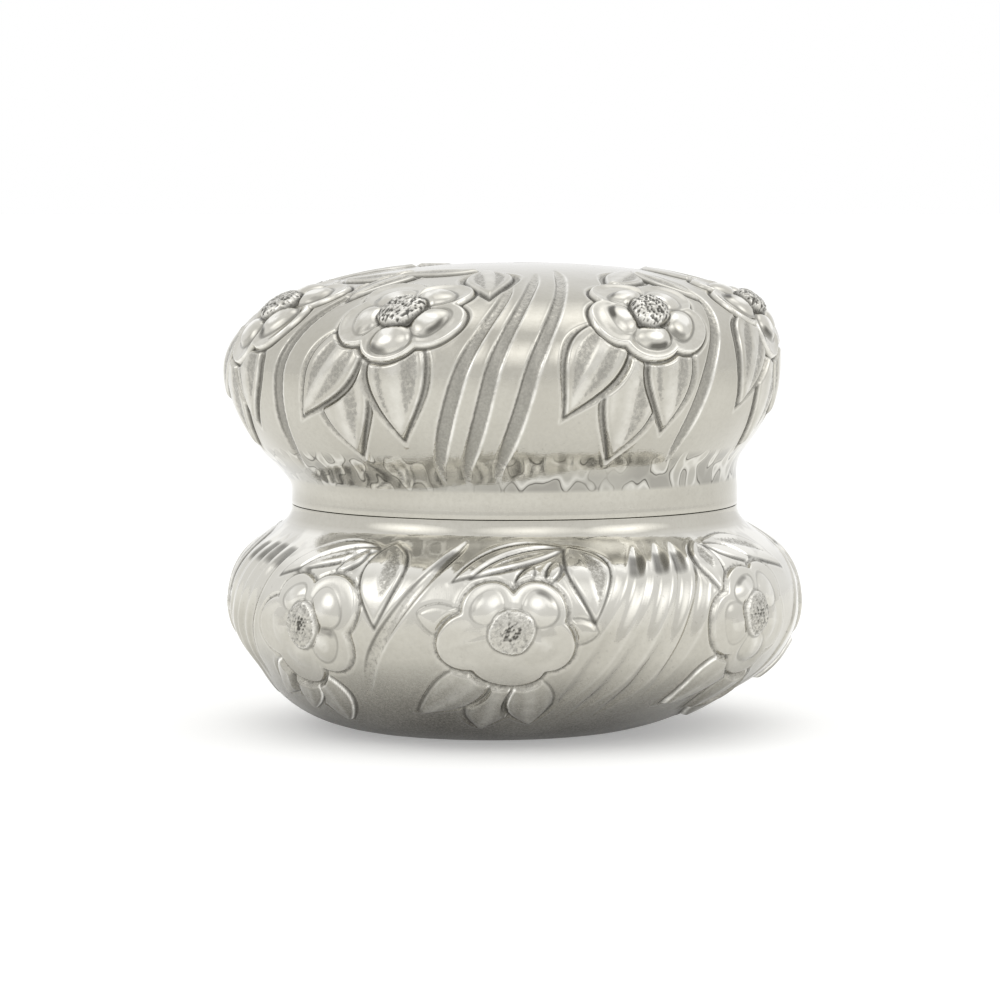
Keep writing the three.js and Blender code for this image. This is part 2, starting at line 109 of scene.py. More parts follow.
def lean_at(height):
    lid_start = LID_EDGE + MOUTH_BAND
    lid_end = lid_start + (LID_WIDEST - lid_start) * LID_ZONE_SHARE
    low = FOOT_LEAN * (1 - smooth(height, 0, BOWL_WIDEST * FOOT_ZONE_SHARE))
    high = LID_LEAN * smooth(height, lid_start, lid_end)
    crown = (CROWN_LEAN - LID_LEAN) * smooth(height, LID_WIDEST, CROWN_HEIGHT)
    return low + high + crown


class Outline:
    """Half of a wall's section: curves end to end through a chain of (radius, height) points."""

    def __init__(self, *chain):
        t = np.linspace(0, 1, CURVE_STEPS)[:, None]
        weights = ((1 - t) ** 3, 3 * t * (1 - t) ** 2, 3 * t * t * (1 - t), t**3)
        curves = [chain[k : k + 4] for k in range(0, len(chain) - 1, 3)]
        parts = [sum(w * np.array(p) for w, p in zip(weights, c)) for c in curves]
        self.points = np.concatenate([parts[0], *(part[1:] for part in parts[1:])])
        steps = np.linalg.norm(np.diff(self.points, axis=0), axis=1)
        self.s = np.concatenate([[0], np.cumsum(steps)])
        self.length = self.s[-1]
        run = np.gradient(self.points, self.s, axis=0)
        run /= np.linalg.norm(run, axis=1)[:, None]
        self.normals = np.stack([run[:, 1], -run[:, 0]], 1)

    def read(self, s, columns):
        return np.stack([np.interp(s, self.s, c) for c in columns.T], -1)

    def radius(self, s):
        return np.interp(s, self.s, self.points[:, 0])

    def place(self, azimuth, s, lift):
        """Points in space, lifted off the outline along its normal."""
        r, z = np.moveaxis(self.read(s, self.points), -1, 0)
        nr, nz = np.moveaxis(self.read(s, self.normals), -1, 0)
        return circle(azimuth, np.maximum(r + nr * lift, 0), z + nz * lift, lean_at(z))


def circle(azimuth, radius, height, centre_x):
    """Points at azimuths round an upright axis."""
    angle = np.radians(azimuth)
    x, y = radius * np.sin(angle) + centre_x, -radius * np.cos(angle)
    return np.stack(np.broadcast_arrays(x, y, height), -1)


def base_outline():
    rise = SEAM_HEIGHT - BOWL_WIDEST
    return Outline(
        (FOOT_RADIUS, 0),
        (FOOT_RADIUS + FOOT_RUN_SHARE * (BOWL_RADIUS - FOOT_RADIUS), 0),
        (BOWL_RADIUS, BOWL_WIDEST * (1 - BOWL_DROP_SHARE)),
        (BOWL_RADIUS, BOWL_WIDEST),
        (BOWL_RADIUS, BOWL_WIDEST + BOWL_RISE_SHARE * rise),
        (WAIST_RADIUS, SEAM_HEIGHT - SEAM_DROP_SHARE * rise),
        (WAIST_RADIUS, SEAM_HEIGHT),
    )


def lid_outline():
    band_top = LID_EDGE + MOUTH_BAND
    rise = LID_WIDEST - band_top
    dome = CROWN_HEIGHT - LID_WIDEST
    return Outline(
        *((WAIST_RADIUS, LID_EDGE + MOUTH_BAND * k / 3) for k in range(4)),
        (WAIST_RADIUS, band_top + BAND_RISE_SHARE * rise),
        (LID_RADIUS, LID_WIDEST - LID_DROP_SHARE * rise),
        (LID_RADIUS, LID_WIDEST),
        (LID_RADIUS, LID_WIDEST + LID_RISE_SHARE * dome),
        (CROWN_RUN_SHARE * LID_RADIUS, CROWN_HEIGHT),
        (0, CROWN_HEIGHT),
    )


# Tones painted on the walls with the relief: satin, darkened lines and painted shade, stippled pits,
# burnish on the edges and painted highlights
SATIN, DARK, GRAIN, BURNISH_AND_GLINT = range(4)


class Relief:
    """The chased height of one wall over its outline, on a grid of rows by columns."""

    def __init__(self, outline):
        self.outline = outline
        rows = round(outline.length / ROW_STEP) + 1
        self.s = np.linspace(0, outline.length, rows)
        self.azimuth = np.arange(COLUMNS) * FULL_TURN / COLUMNS
        self.radius = outline.radius(self.s)
        self.height = np.zeros((len(self.s), COLUMNS))
        self.tone = np.zeros((len(self.s), COLUMNS, 4))


class Patch:
    """The wall round one place, laid out flat: x round the wall and y up it, from that place."""

    def __init__(self, relief, azimuth, s, reach):
        half = math.degrees(reach / float(relief.outline.radius(s)))
        first = math.ceil((azimuth - half) * COLUMNS / FULL_TURN)
        last = math.floor((azimuth + half) * COLUMNS / FULL_TURN)
        columns = np.arange(first, last + 1)
        rows = np.nonzero(np.abs(relief.s - s) <= reach)[0]
        turn = np.radians(columns * FULL_TURN / COLUMNS - azimuth)
        self.relief = relief
        self.at = np.ix_(rows, columns % COLUMNS)
        self.x = relief.radius[rows][:, None] * turn[None, :]
        self.y = np.repeat((relief.s[rows] - s)[:, None], len(columns), 1)

    def lay(self, cover, height, tones):
        """Covers what is there: a share of one replaces it, nought leaves it."""
        old = self.relief.height[self.at]
        self.relief.height[self.at] = old + (height - old) * cover
        for k, tone in tones.items():
            rest = self.relief.tone[..., k][self.at]
            self.relief.tone[..., k][self.at] = rest + (tone - rest) * cover

    def raise_by(self, height, edge=0.0):
        self.relief.height[self.at] += height
        # edge is a painted highlight laid along the raised ground
        self.relief.tone[..., BURNISH_AND_GLINT][self.at] = np.maximum(self.relief.tone[..., BURNISH_AND_GLINT][self.at], edge)


# A place and a width stand for a ridge there, and two places for a fade from nought to one.
OUTER_RIM = (0, 0.3)
OUTER_GLEAM = (0, 0.22)


def add_outer_rim(patch, beyond, bare, height, bright):
    """A soft ridge thrown up just beyond a chased line, on the ground that is still bare, with a
    painted highlight.
    """
    gleam = bright * ridge(beyond, *OUTER_GLEAM) * bare
    patch.raise_by(height * ridge(beyond, *OUTER_RIM) * bare, gleam)


# Flutes. Places across one are in half widths from its middle

FLUTE_BENDS = 3
FLUTE_LEAST_WIDTH = 1e-3
FLUTE_TAPER = 0.35
FLUTE_NARROWS = (0.35, 0.8)
FLUTE_LIP = 0.12
FLUTE_LIP_REACH = 1.55
FLUTE_INSIDE = (1.08, 0.92)
FLUTE_SATIN_TAPER = 0.25
FLUTE_SATIN_LOSS = 0.6
# A painted highlight along a flute's right edge and less along its left, and painted shade along its
# left
FLUTE_HIGHLIGHT = (1.2, 0.2)
FLUTE_LEFT_HIGHLIGHT = 0.3
FLUTE_SHADE = (0.9, 0.25)

# The painted shade pooled in a flute's head: its fades in millimetres down from the flute's end, and
# across
POOL_TOP = (1.5, 3.5)
POOL_BOTTOM = (10, 7)
POOL_MIDDLE = 0.4
POOL_SIDE = (1.1, 0.4)


def add_flute(relief, places, cut):
    """A chased channel through (azimuth, s) places, drawn out thin at its two ends."""
    azimuths, along = np.array(places, float).T
    curve = np.polynomial.Polynomial.fit(along, azimuths, min(FLUTE_BENDS, len(places) - 1))
    low, high = along.min(), along.max()
    rows = np.nonzero((relief.s >= low) & (relief.s <= high))[0]
    s, radius = relief.s[rows], relief.radius[rows]
    level = 1 / np.hypot(1, radius * np.radians(curve.deriv()(s)))
    swell = smooth(s - low, 0, cut.foot) * smooth(high - s, 0, cut.head)
    climb = smooth((s - low) / (high - low), *FLUTE_NARROWS)
    width = cut.half_width * swell**FLUTE_TAPER * (1 - (1 - cut.head_width) * climb)
    turn = relief.azimuth[None, :] - curve(s)[:, None]
    turn = (turn + FULL_TURN / 2) % FULL_TURN - FULL_TURN / 2
    share = np.abs(np.radians(turn)) * (radius * level / (width + FLUTE_LEAST_WIDTH))[:, None]
    swell, climb, s = swell[:, None], climb[:, None], s[:, None]
    floor = cut.depth * np.sqrt(swell) * np.clip(1 - share**2, 0, None) ** cut.wall
    middle = (1 + FLUTE_LIP_REACH) / 2
    lip = FLUTE_LIP * hump((share - middle) / (FLUTE_LIP_REACH - middle)) * swell
    inside = smooth(share, *FLUTE_INSIDE)
    relief.height[rows] += lip * (1 - inside) - floor
    satin = cut.satin * swell**FLUTE_SATIN_TAPER * (1 - FLUTE_SATIN_LOSS * climb) * inside
    # Painted highlight on the right edge, painted shade on the left edge and in the head
    bright = cut.bright * ridge(share, *FLUTE_HIGHLIGHT)
    bright = bright * np.sqrt(swell) * np.where(turn > 0, 1, FLUTE_LEFT_HIGHLIGHT)
    dark = cut.dark * ridge(share, *FLUTE_SHADE) * swell * (turn < 0)
    pool = smooth(high - s, *POOL_TOP) * smooth(high - s, *POOL_BOTTOM)
    pool = pool * smooth(np.abs(share - POOL_MIDDLE), *POOL_SIDE)
    dark = np.maximum(dark, cut.head_dark * pool)
    for k, tone in ((SATIN, satin), (BURNISH_AND_GLINT, bright), (DARK, dark)):
        relief.tone[rows, :, k] = np.maximum(relief.tone[rows, :, k], tone)


# Leaves. Places across an edge are in millimetres outside it

MIDRIB = (0, 0.55)
MIDRIB_FADE = (-0.2, -1.5)
LEAF_LIGHT_BANDS = 7
LIGHT_BAND_DEPTH = 0.4
CHANNEL_TIP = 0.8
BODY_START = 0.1
DOME_FADE = (0, -1)
DOME_LEAST_WIDTH = 0.1
LEAF_RIM = (-0.3, 0.36)
LEAF_GLEAM = (-0.3, 0.22)
LEAF_LINE = (0.15, 0.42)
LEAF_LIT_FADE = (-0.5, -1.4)
LEAF_BEYOND = 0.3
STROKE_FADE = (-0.2, 0.35)
STROKE_MARGIN = (-0.3, -0.7)
TRENCH_INNER_FADE = (-0.12, 0.28)
TRENCH_OUTER_FADE = (0.12, -0.35)
LEAF_COVER_FADE = (0.3, -0.05)


def leaf_distance(along, across, length, half_width, widest, ogee):
    """Nearly the distance outside a pointed leaf that runs from nought to its length."""
    t = np.clip(along / length, 0, 1)
    width = half_width * np.sin(math.pi * t ** (math.log(0.5) / math.log(widest))) ** ogee
    slope = np.gradient(width, axis=0) ** 2 + np.gradient(width, axis=1) ** 2
    steep = 1 / np.sqrt(1 + slope / ROW_STEP**2)
    past = np.maximum(np.maximum(along - length, -along), 0)
    aside = np.abs(across) - width
    return (np.hypot(np.maximum(aside, 0), past) + np.minimum(aside, 0)) * steep, width


def add_leaf(patch, leaf, cut):
    """One pointed leaf: (root, tip, half width, bow, strokes) in the flower's own millimetres."""
    root, tip, half_width, bow, strokes = leaf
    way = np.array(tip, float) - root
    length = math.hypot(*way)
    ahead = way / length
    x, y = patch.x - root[0], patch.y - root[1]
    along = x * ahead[0] + y * ahead[1]
    t = along / length
    v = y * ahead[0] - x * ahead[1] - bow * 4 * np.clip(t, 0, 1) * (1 - np.clip(t, 0, 1))
    shape = cut.widest, cut.ogee
    channel = cut.channel
    d, width = leaf_distance(along, v, length, half_width, *shape)
    reach = length + channel * CHANNEL_TIP
    outer, _ = leaf_distance(along, v, reach, half_width + channel, *shape)
    side = np.where(v * (1 if bow > 0 else -1) > 0, 1, cut.far_side)
    body = cut.proud * smooth(d, BODY_START, -cut.edge)
    arch = np.clip(1 - (v / np.maximum(width, DOME_LEAST_WIDTH)) ** 2, 0, 1)
    dome = cut.dome * arch * smooth(d, *DOME_FADE)
    rim = cut.rim * side * ridge(d, *LEAF_RIM)
    rib = cut.rib * ridge(v, *MIDRIB) * smooth(d, *MIDRIB_FADE)
    trench = smooth(d, *TRENCH_INNER_FADE) * smooth(outer, *TRENCH_OUTER_FADE)
    stroked = np.zeros_like(d)
    height = body + dome + rim - rib - cut.trench * trench
    for offset, share, start, end in strokes:
        run = hump((t - (start + end) / 2) / ((end - start) / 2)) ** 0.5
        stroke = smooth(share * width * run - np.abs(v - offset * width), *STROKE_FADE)
        stroke = stroke * smooth(d, *STROKE_MARGIN)
        height = height - cut.stroke * stroke
        stroked = np.maximum(stroked, stroke)
    darks = (
        cut.dark * ridge(d, *LEAF_LINE),
        cut.trench_dark * trench,
        cut.stroke_dark * stroked,
    )
    satin = np.maximum(cut.stroke_satin * stroked, cut.satin * trench)
    # A painted highlight over the leaf's body, in bands across it, and another along its rim
    streaks = 1 - LIGHT_BAND_DEPTH + LIGHT_BAND_DEPTH * np.cos(LEAF_LIGHT_BANDS * v / half_width)
    lit = cut.body_bright * smooth(d, *LEAF_LIT_FADE) * (1 - satin) * streaks
    gleam = cut.bright * side * ridge(d, *LEAF_GLEAM)
    cover = smooth(outer, *LEAF_COVER_FADE)
    dark, edge = np.maximum.reduce(darks), np.maximum(gleam, lit)
    patch.lay(cover, height, {SATIN: satin, DARK: dark, GRAIN: 0 * d, BURNISH_AND_GLINT: edge})
    # A painted highlight along the ridge beyond the leaf
    gleam = cut.bright * cut.beyond
    add_outer_rim(patch, outer - LEAF_BEYOND, 1 - cover, cut.rim, gleam)


# Flowers: five petals round a boss, each a shallow dish with an egg-shaped swelling in it.
# Places round an egg are shares of its reach, others are in millimetres

FLOWER_REACH = 21
PETAL_COUNT = 5
PETAL_ROOT = 1.5
PETAL_START = 0.12
PETAL_FADE = (-0.1, -0.6)
PETAL_LIT_FADE = (0, -0.5)
PETAL_GLEAM_WIDTH = 0.25
DISH_START = 0.3
EGG_UNDER = 0.9
EGG_SPREAD = 0.2
EGG_LEAST_WIDTH = 0.4
HOLLOW_PLACE = 1.06
GLINT_SHIFT = 0.12
GLINT_FADE = (0.75, 0.45)
GLINT_BANDS = 1.5
GLINT_DEPTH = 0.4
# A painted dark reflection near an egg's outer end: its turn, arc, strength, place and least egg
DARK_REFLECTION_TURN = 1.6
DARK_REFLECTION_ARC = (0.6, 0.97)
DARK_REFLECTION_SHARES = (0.4, 1)
DARK_REFLECTION_RIDGE = (0.84, 0.2)
DARK_REFLECTION_LEAST_EGG = 0.7
PINCH_START = 1
PINCH_SHARE = 0.75
PINCH_RIDGE = (0, 0.28)
LINE_INNER_FADE = (-0.15, 0.2)
LINE_OUTER_FADE = (0.15, -0.25)
LINE_COVER_FADE = (0.25, -0.05)
LINE_BEYOND = 0.35
BOSS_WAVES = ((2, 0.05), (4, 0.03))
BOSS_FADE = (0.25, -0.3)
BOSS_LIP = (-0.45, 0.35)
BOSS_GLEAM = (-0.3, 0.2)
BOSS_TONE = 0.3
DITCH = (0.35, 0.4)
DITCH_DARK = (0.15, 0.28)
PIT_SIZES = (-0.14, 0.08)
PIT_JITTER = 0.3
PIT_ROW_SHARE = 0.87
PIT_SLOPE = 0.8
PIT_FADE = 0.25
PIT_INNER_FADE = (0.52, 0.27)


def ellipse_distance(du, dv, a, b):
    """Nearly the distance outside an ellipse, below nought inside it."""
    near = np.hypot(du / a, dv / b)
    steep = np.hypot(du / a**2, dv / b**2) + 1e-6
    return near * (near - 1) / steep


def pit_distance(x, y, rng, reach, pitch):
    """Distance to the nearest of the punch marks scattered over a boss."""
    count = int(reach / pitch) + 2
    column, row = np.meshgrid(np.arange(-count, count + 1), np.arange(-count, count + 1))
    jitter = rng.uniform(-PIT_JITTER, PIT_JITTER, (2, *column.shape))
    px = (column + 0.5 * (row % 2) + jitter[0]) * pitch
    py = (row + jitter[1]) * pitch * PIT_ROW_SHARE
    bigger = rng.uniform(*PIT_SIZES, px.shape)
    near = np.full_like(x, reach)
    for cx, cy, more in zip(px.ravel(), py.ravel(), bigger.ravel()):
        near = np.minimum(near, np.hypot(x - cx, y - cy) - more)
    return near


def petal_layers(patch, petal, boss_reach, cut, rng):
    """Distances outside a petal and its dish, then its egg, hollow, painted glint, painted dark
    reflection and pinch.
    """
    direction, reach, half_width, egg, egg_share, pinch = petal
    c, n = math.cos(math.radians(direction)), math.sin(math.radians(direction))
    u, v = patch.x * c + patch.y * n, patch.y * c - patch.x * n
    a = (reach - PETAL_ROOT) / 2
    margin = cut.rim_reach
    lobe = ellipse_distance(u - PETAL_ROOT - a, v, a, half_width)
    dish = ellipse_distance(u - PETAL_ROOT - a, v, a - margin, half_width - margin)
    egg_root = boss_reach - EGG_UNDER
    egg_a = (boss_reach + (reach - boss_reach) * egg_share - egg_root) / 2
    along = (u - egg_root - egg_a) / egg_a
    egg_b = half_width * cut.egg_width * (1 + EGG_SPREAD * along)
    across = v / np.maximum(egg_b, EGG_LEAST_WIDTH)
    near = np.hypot(along, across)
    swell = egg * np.clip(1 - near**2, 0, 1) ** cut.egg_swell
    around = (near - HOLLOW_PLACE) * cut.egg_width * half_width
    hollow = min(egg, 1) * ridge(around, 0, cut.hollow_width)
    off = np.hypot(along - GLINT_SHIFT * n, across - GLINT_SHIFT * c)
    bands = np.cos(GLINT_BANDS * 2 * math.pi * v / half_width + rng.uniform(-1, 1))
    glint = min(egg, 1) * (1 - GLINT_DEPTH + GLINT_DEPTH * bands)
    glint = glint * smooth(off, *GLINT_FADE)
    # A painted dark reflection, placed near the egg's outer end
    facing = np.arctan2(across, along) - rng.uniform(-DARK_REFLECTION_TURN, DARK_REFLECTION_TURN)
    smudge = rng.uniform(*DARK_REFLECTION_SHARES) * smooth(np.cos(facing), *DARK_REFLECTION_ARC)
    smudge = smudge * ridge(near, *DARK_REFLECTION_RIDGE) * (egg > DARK_REFLECTION_LEAST_EGG)
    run = hump((u - boss_reach - PINCH_START) / ((reach - boss_reach) * PINCH_SHARE))
    return lobe, dish, swell, hollow, glint, smudge, pinch * ridge(v, *PINCH_RIDGE) * run


def boss_layers(patch, boss_reach, boss_turn, cut, rng):
    """Distance outside a slightly uneven boss, then how far it covers, its height and its pits."""
    rho = np.hypot(patch.x, patch.y)
    turn = np.arctan2(patch.y, patch.x) - math.radians(boss_turn)
    reach = boss_reach * (1 + sum(depth * np.cos(k * turn) for k, depth in BOSS_WAVES))
    share, outside = rho / reach, rho - reach
    cover = smooth(outside, *BOSS_FADE)
    dome = cut.boss * np.clip(1 - share ** cut.boss_square, 0, 1) ** 0.5
    lip = cut.boss_lip * ridge(outside, *BOSS_LIP)
    ditch = cut.ditch * ridge(outside, *DITCH)
    pit = pit_distance(patch.x, patch.y, rng, boss_reach, cut.pit_pitch)
    zone = smooth(share, cut.pit_zone, cut.pit_zone - PIT_FADE) * cover
    cone = np.clip(1 - pit / cut.pit_reach, 0, 1) * zone
    grain = cut.grain * rng.normal(0, 1, rho.shape) * zone
    height = dome + lip - ditch - cut.pit_depth * smooth(cone, 0, PIT_SLOPE) + grain
    outer = cut.pit_outer
    pits = cone * (outer + (1 - outer) * smooth(share, *PIT_INNER_FADE))
    return outside, cover, height, BOSS_TONE * cover + (1 - BOSS_TONE) * pits


def add_flower(relief, flower, cut, seed):
    azimuth, s, petals, boss_reach, boss_turn = flower
    patch = Patch(relief, azimuth, s, FLOWER_REACH)
    rng = np.random.default_rng(seed)
    layers = zip(*(petal_layers(patch, petal, boss_reach, cut, rng) for petal in petals))
    lobes, dishes, *marks = (np.stack(layer) for layer in layers)
    eggs, hollows, glints, dark_reflections, pinches = (mark.max(0) for mark in marks)
    outside, boss, boss_height, pits = boss_layers(patch, boss_reach, boss_turn, cut, rng)
    d = np.minimum(lobes.min(0), np.hypot(patch.x, patch.y) - boss_reach)
    hollows = hollows * smooth(d, *PETAL_FADE)
    height = cut.proud * smooth(d, PETAL_START, -cut.shoulder)
    height = height + cut.rim * ridge(d, cut.rim_place, cut.rim_width)
    height = height - cut.dish * smooth(dishes.min(0), DISH_START, -cut.dish_slope)
    height = height + cut.egg * eggs - cut.hollow * hollows + cut.pinch * pinches
    line = smooth(d, *LINE_INNER_FADE) * smooth(d - cut.line, *LINE_OUTER_FADE)
    bare = 1 - boss
    height = height * bare + cut.proud * boss + boss_height - cut.line_depth * line
    # Darkened lines, ditch and hollows, and the eggs' painted dark reflections
    darks = (
        cut.line_dark * line,
        cut.ditch_dark * ridge(outside, *DITCH_DARK),
        cut.hollow_dark * hollows * bare,
        cut.smudge * dark_reflections * bare,
    )
    # Painted highlights: gleams along the petals' rims and round the boss, glints on the eggs, the
    # boss and petals painted lighter
    lights = (
        cut.bright * ridge(d, cut.rim_place, PETAL_GLEAM_WIDTH),
        cut.boss_edge * ridge(outside, *BOSS_GLEAM),
        cut.egg_bright * glints * bare,
        cut.boss_bright * boss,
        cut.petal_bright * smooth(d, *PETAL_LIT_FADE) * bare,
    )
    satin = np.maximum(cut.line_satin * line, cut.boss_satin * boss)
    dark, edge = np.maximum.reduce(darks), np.maximum.reduce(lights)
    cover = smooth(d - cut.line, *LINE_COVER_FADE)
    patch.lay(cover, height, {SATIN: satin, DARK: dark, GRAIN: pits, BURNISH_AND_GLINT: edge})
    beyond = d - cut.line - LINE_BEYOND
    add_outer_rim(patch, beyond, 1 - cover, cut.outer_rim, cut.outer_bright)


SWELL = 0.8
SWELL_REACH = 17.8


def add_swell(relief, azimuth, s):
    """The ground round a flower, pushed up from behind."""
    patch = Patch(relief, azimuth, s, SWELL_REACH)
    patch.raise_by(SWELL * hump(np.hypot(patch.x, patch.y) / SWELL_REACH))


def cuts_of(**table):
    """One way of cutting for each column of a table of named sizes."""
    return [SimpleNamespace(**dict(zip(table, column))) for column in zip(*table.values())]


# How each kind of work is cut. Columns: the lid's, which is bolder, and the base's
# The bright and gleam sizes paint highlights, and the eggs' dark spots a painted dark reflection
LID_FLOWER, BASE_FLOWER = cuts_of(
    proud=(0.65, 0.45), shoulder=(0.45, 0.45), line=(0.5, 0.7), line_depth=(0.5, 0.34),
    line_dark=(0.85, 0.4), line_satin=(0.3, 0.6), rim=(0.14, 0.08),
    rim_place=(-0.42, -0.45), rim_width=(0.3, 0.3), rim_reach=(0.95, 1.4),
    outer_rim=(0.1, 0.1), bright=(0.9, 0.3), outer_bright=(0.45, 0.1),
    petal_bright=(0.3, 0.08), dish=(0.38, 0.2), dish_slope=(1.2, 1.6),
    egg=(0.95, 0.6), egg_width=(0.6, 0.6), egg_swell=(0.62, 0.9),
    egg_bright=(1.5, 0.5), hollow=(0.16, 0.14), hollow_width=(0.45, 0.4),
    hollow_dark=(0.5, 0.42), smudge=(0.8, 0.5), pinch=(0.0, 0.3), boss=(1.5, 0.6),
    boss_square=(4, 4), boss_lip=(0.0, 0.14), boss_edge=(0.4, 0.8),
    boss_bright=(0.7, 0.15), boss_satin=(0.3, 0.35), ditch=(0.4, 0.25),
    ditch_dark=(0.85, 0.55), pit_pitch=(0.76, 0.72), pit_reach=(0.44, 0.46),
    pit_depth=(0.35, 0.2), pit_zone=(1.2, 1.1), pit_outer=(1.0, 0.42),
    grain=(0.05, 0.05),
)

# Columns: the lid's leaves, and the base's that hang low, lie beside the flower and stand high
# bright, body_bright and beyond set painted highlights
LID_LEAF, BASE_LOW_LEAF, BASE_SIDE_LEAF, BASE_HIGH_LEAF = cuts_of(
    widest=(0.4, 0.55, 0.6, 0.42), ogee=(1.12, 0.9, 0.7, 1.0),
    proud=(0.35, 0.4, 0.3, 0.3), edge=(0.5, 1.0, 0.8, 0.45), dome=(0.4, 0.8, 0.3, 0.15),
    rim=(0.12, 0.3, 0.05, 0.12), rib=(0.0, 0.12, 0.0, 0.05),
    stroke=(0.22, 0.15, 0.15, 0.18), stroke_satin=(0.58, 0.4, 0.4, 0.6),
    stroke_dark=(0.0, 0.0, 0.0, 0.1), channel=(1.3, 0.6, 0.5, 0.65),
    trench=(0.4, 0.3, 0.2, 0.32), satin=(0.85, 0.35, 0.5, 0.6),
    trench_dark=(0.0, 0.0, 0.0, 0.2), dark=(0.55, 0.5, 0.45, 0.62),
    bright=(0.6, 1.6, 0.15, 0.4), body_bright=(0.38, 0.25, 0.1, 0.3),
    far_side=(0.8, 0.15, 0.5, 0.6), beyond=(0.5, 0.0, 0.0, 0.5),
)
LOW_LEAF_TIP = -5
SIDE_LEAF_RISE = 4


def lid_leaf_cut(leaf):
    return LID_LEAF


def base_leaf_cut(leaf):
    """Low leaves hang below the flower, high ones stand over it, side ones lie level with it."""
    root, tip = leaf[0], leaf[1]
    if tip[1] < LOW_LEAF_TIP:
        return BASE_LOW_LEAF
    return BASE_SIDE_LEAF if root[1] < SIDE_LEAF_RISE else BASE_HIGH_LEAF


# Sprigs: leaves round a flower, from the hindmost to the foremost, in millimetres from its centre:
# root, tip, half width, bow to the left of the way from root to tip, and satin strokes, each as
# its offset and width in shares of the half width, and its start and end in shares of the length
TWO_STROKES = ((0.45, 0.24, 0.12, 0.9), (-0.42, 0.26, 0.1, 0.86))
ONE_STROKE = ((0.35, 0.3, 0.15, 0.85),)
EDGE_STROKES = ((0.5, 0.3, 0.05, 0.8), (-0.6, 0.15, 0.1, 0.9))
LID_SPRIG_A = (
    ((4, 25.7), (13.9, 6.2), 4.2, 0.3, TWO_STROKES),
    ((3, 25.7), (-13.8, 18.7), 3, -1.5, ONE_STROKE),
    ((-7, -9), (-6.2, -30.6), 5.4, -1.2, ONE_STROKE),
    ((-5, -2.5), (-18.7, -22.2), 5.4, 0.5, TWO_STROKES),
    ((2.8, -3.5), (3.9, -26.7), 5.8, 0.4, EDGE_STROKES),
)
LID_SPRIG_B = (
    ((10.6, 23.8), (-3.6, 11.8), 4, 0.6, ONE_STROKE),
    ((10.7, 22.4), (16.6, 3.9), 3.2, -0.6, TWO_STROKES),
    ((-5.5, -9), (-6.9, -31.2), 5.4, 0.6, ONE_STROKE),
    ((-7.5, -1.5), (-18.6, -21.3), 5.6, -0.7, TWO_STROKES),
    ((3.3, -4), (2.7, -24.7), 5.2, 0.2, EDGE_STROKES),
)
BASE_SPRIG_0 = (
    ((-5, 0.6), (-18.2, 3.2), 3, 0.3, ()),
    ((7, 1.2), (16.6, -0.3), 2.3, -0.4, ()),
    ((9.5, 18.2), (-11.3, 9.4), 2.9, -1.6, ()),
    ((9.8, 17.6), (-7.8, 10), 1.7, -0.9, ((0, 0.35, 0.1, 0.8),)),
    ((10.3, 18.4), (15.9, 1.4), 3.9, 2.2, ((0.35, 0.4, 0.1, 0.9),)),
    ((4.1, 13), (0.4, 7.6), 1.2, 0.2, ()),
    ((8.5, 14.4), (6.6, 8.6), 1.2, 0.3, ()),
    ((-3, -8), (-3, -26.5), 4.6, 0.2, ()),
    ((-4, -4), (-16.3, -20.3), 5, 0.9, ()),
    ((3, -6), (6.1, -24.5), 4.4, -0.6, ()),
)
BASE_SPRIG_MINUS = (
    ((11.2, 17.9), (-10, 8.9), 3, -1.8, ()),
    ((11.7, 17.3), (-5, 9.9), 1.7, -0.9, ((0, 0.35, 0.1, 0.8),)),
    ((13.6, 19.3), (16.8, 0.4), 4.2, 0.8, ((0.35, 0.42, 0.08, 0.75),)),
    ((9.6, 16.9), (5, 9.9), 1.4, 0.3, ()),
    ((-5.5, -6), (-14.6, -18.2), 3.8, -0.4, ()),
    ((-1, -6), (2.3, -25.4), 4.4, 0.4, ()),
    ((-4.5, -6), (-6.5, -22.1), 3.9, 0.2, ()),
)
BASE_SPRIG_PLUS = (
    ((-4.7, 17), (18.6, 7.6), 3.4, 1.9, ((0.2, 0.35, 0.1, 0.8),)),
    ((-5.2, 16.2), (6.1, 9), 1.6, 0.5, ()),
    ((-6.7, 17.6), (-8.9, 4.1), 3, -0.6, ((0, 0.5, 0.1, 0.6),)),
    ((1.7, -8), (5.5, -28), 4.4, -0.6, ()),
    ((-2, -4), (-12.8, -20.3), 4.8, -0.5, ()),
    ((1.5, -6), (-1.5, -23.5), 4, 0.6, ()),
)


def even_petals(first, reach, half_width, egg, egg_share):
    step = FULL_TURN / PETAL_COUNT
    return [(first + step * k, reach, half_width, egg, egg_share, 0) for k in range(PETAL_COUNT)]


# Petals: direction, reach, half width, how far the egg stands up, the share of the petal that
# the egg takes, and how far a pinched line stands up along the petal's middle
PETALS_A = [(197, 13, 6, 0.8, 0.6, 0), (278, 11.1, 6.3, 1.3, 0.8, 0),
            (342, 13.8, 5.7, 1, 0.62, 0), (55, 13.7, 6, 1, 0.62, 0),
            (130, 15, 6.4, 0.8, 0.5, 0)]
PETALS_B = [(192, 12.8, 6.2, 0.8, 0.5, 0), (262, 10.9, 6.5, 1.1, 0.66, 0),
            (331, 13.9, 5.8, 1.1, 0.62, 0), (38, 13.8, 6.2, 0.8, 0.55, 0),
            (115, 13.2, 6.2, 0.9, 0.5, 0)]
PETALS_0 = [(135, 11, 5.5, 0.9, 0.7, 0), (39, 11.6, 5.7, 1.1, 0.76, 0),
            (339, 12.5, 5.5, 0.55, 0.6, 0.6), (263, 11.5, 7.2, 0, 0.5, 0),
            (195, 14.8, 5.7, 0.15, 0.5, 1)]
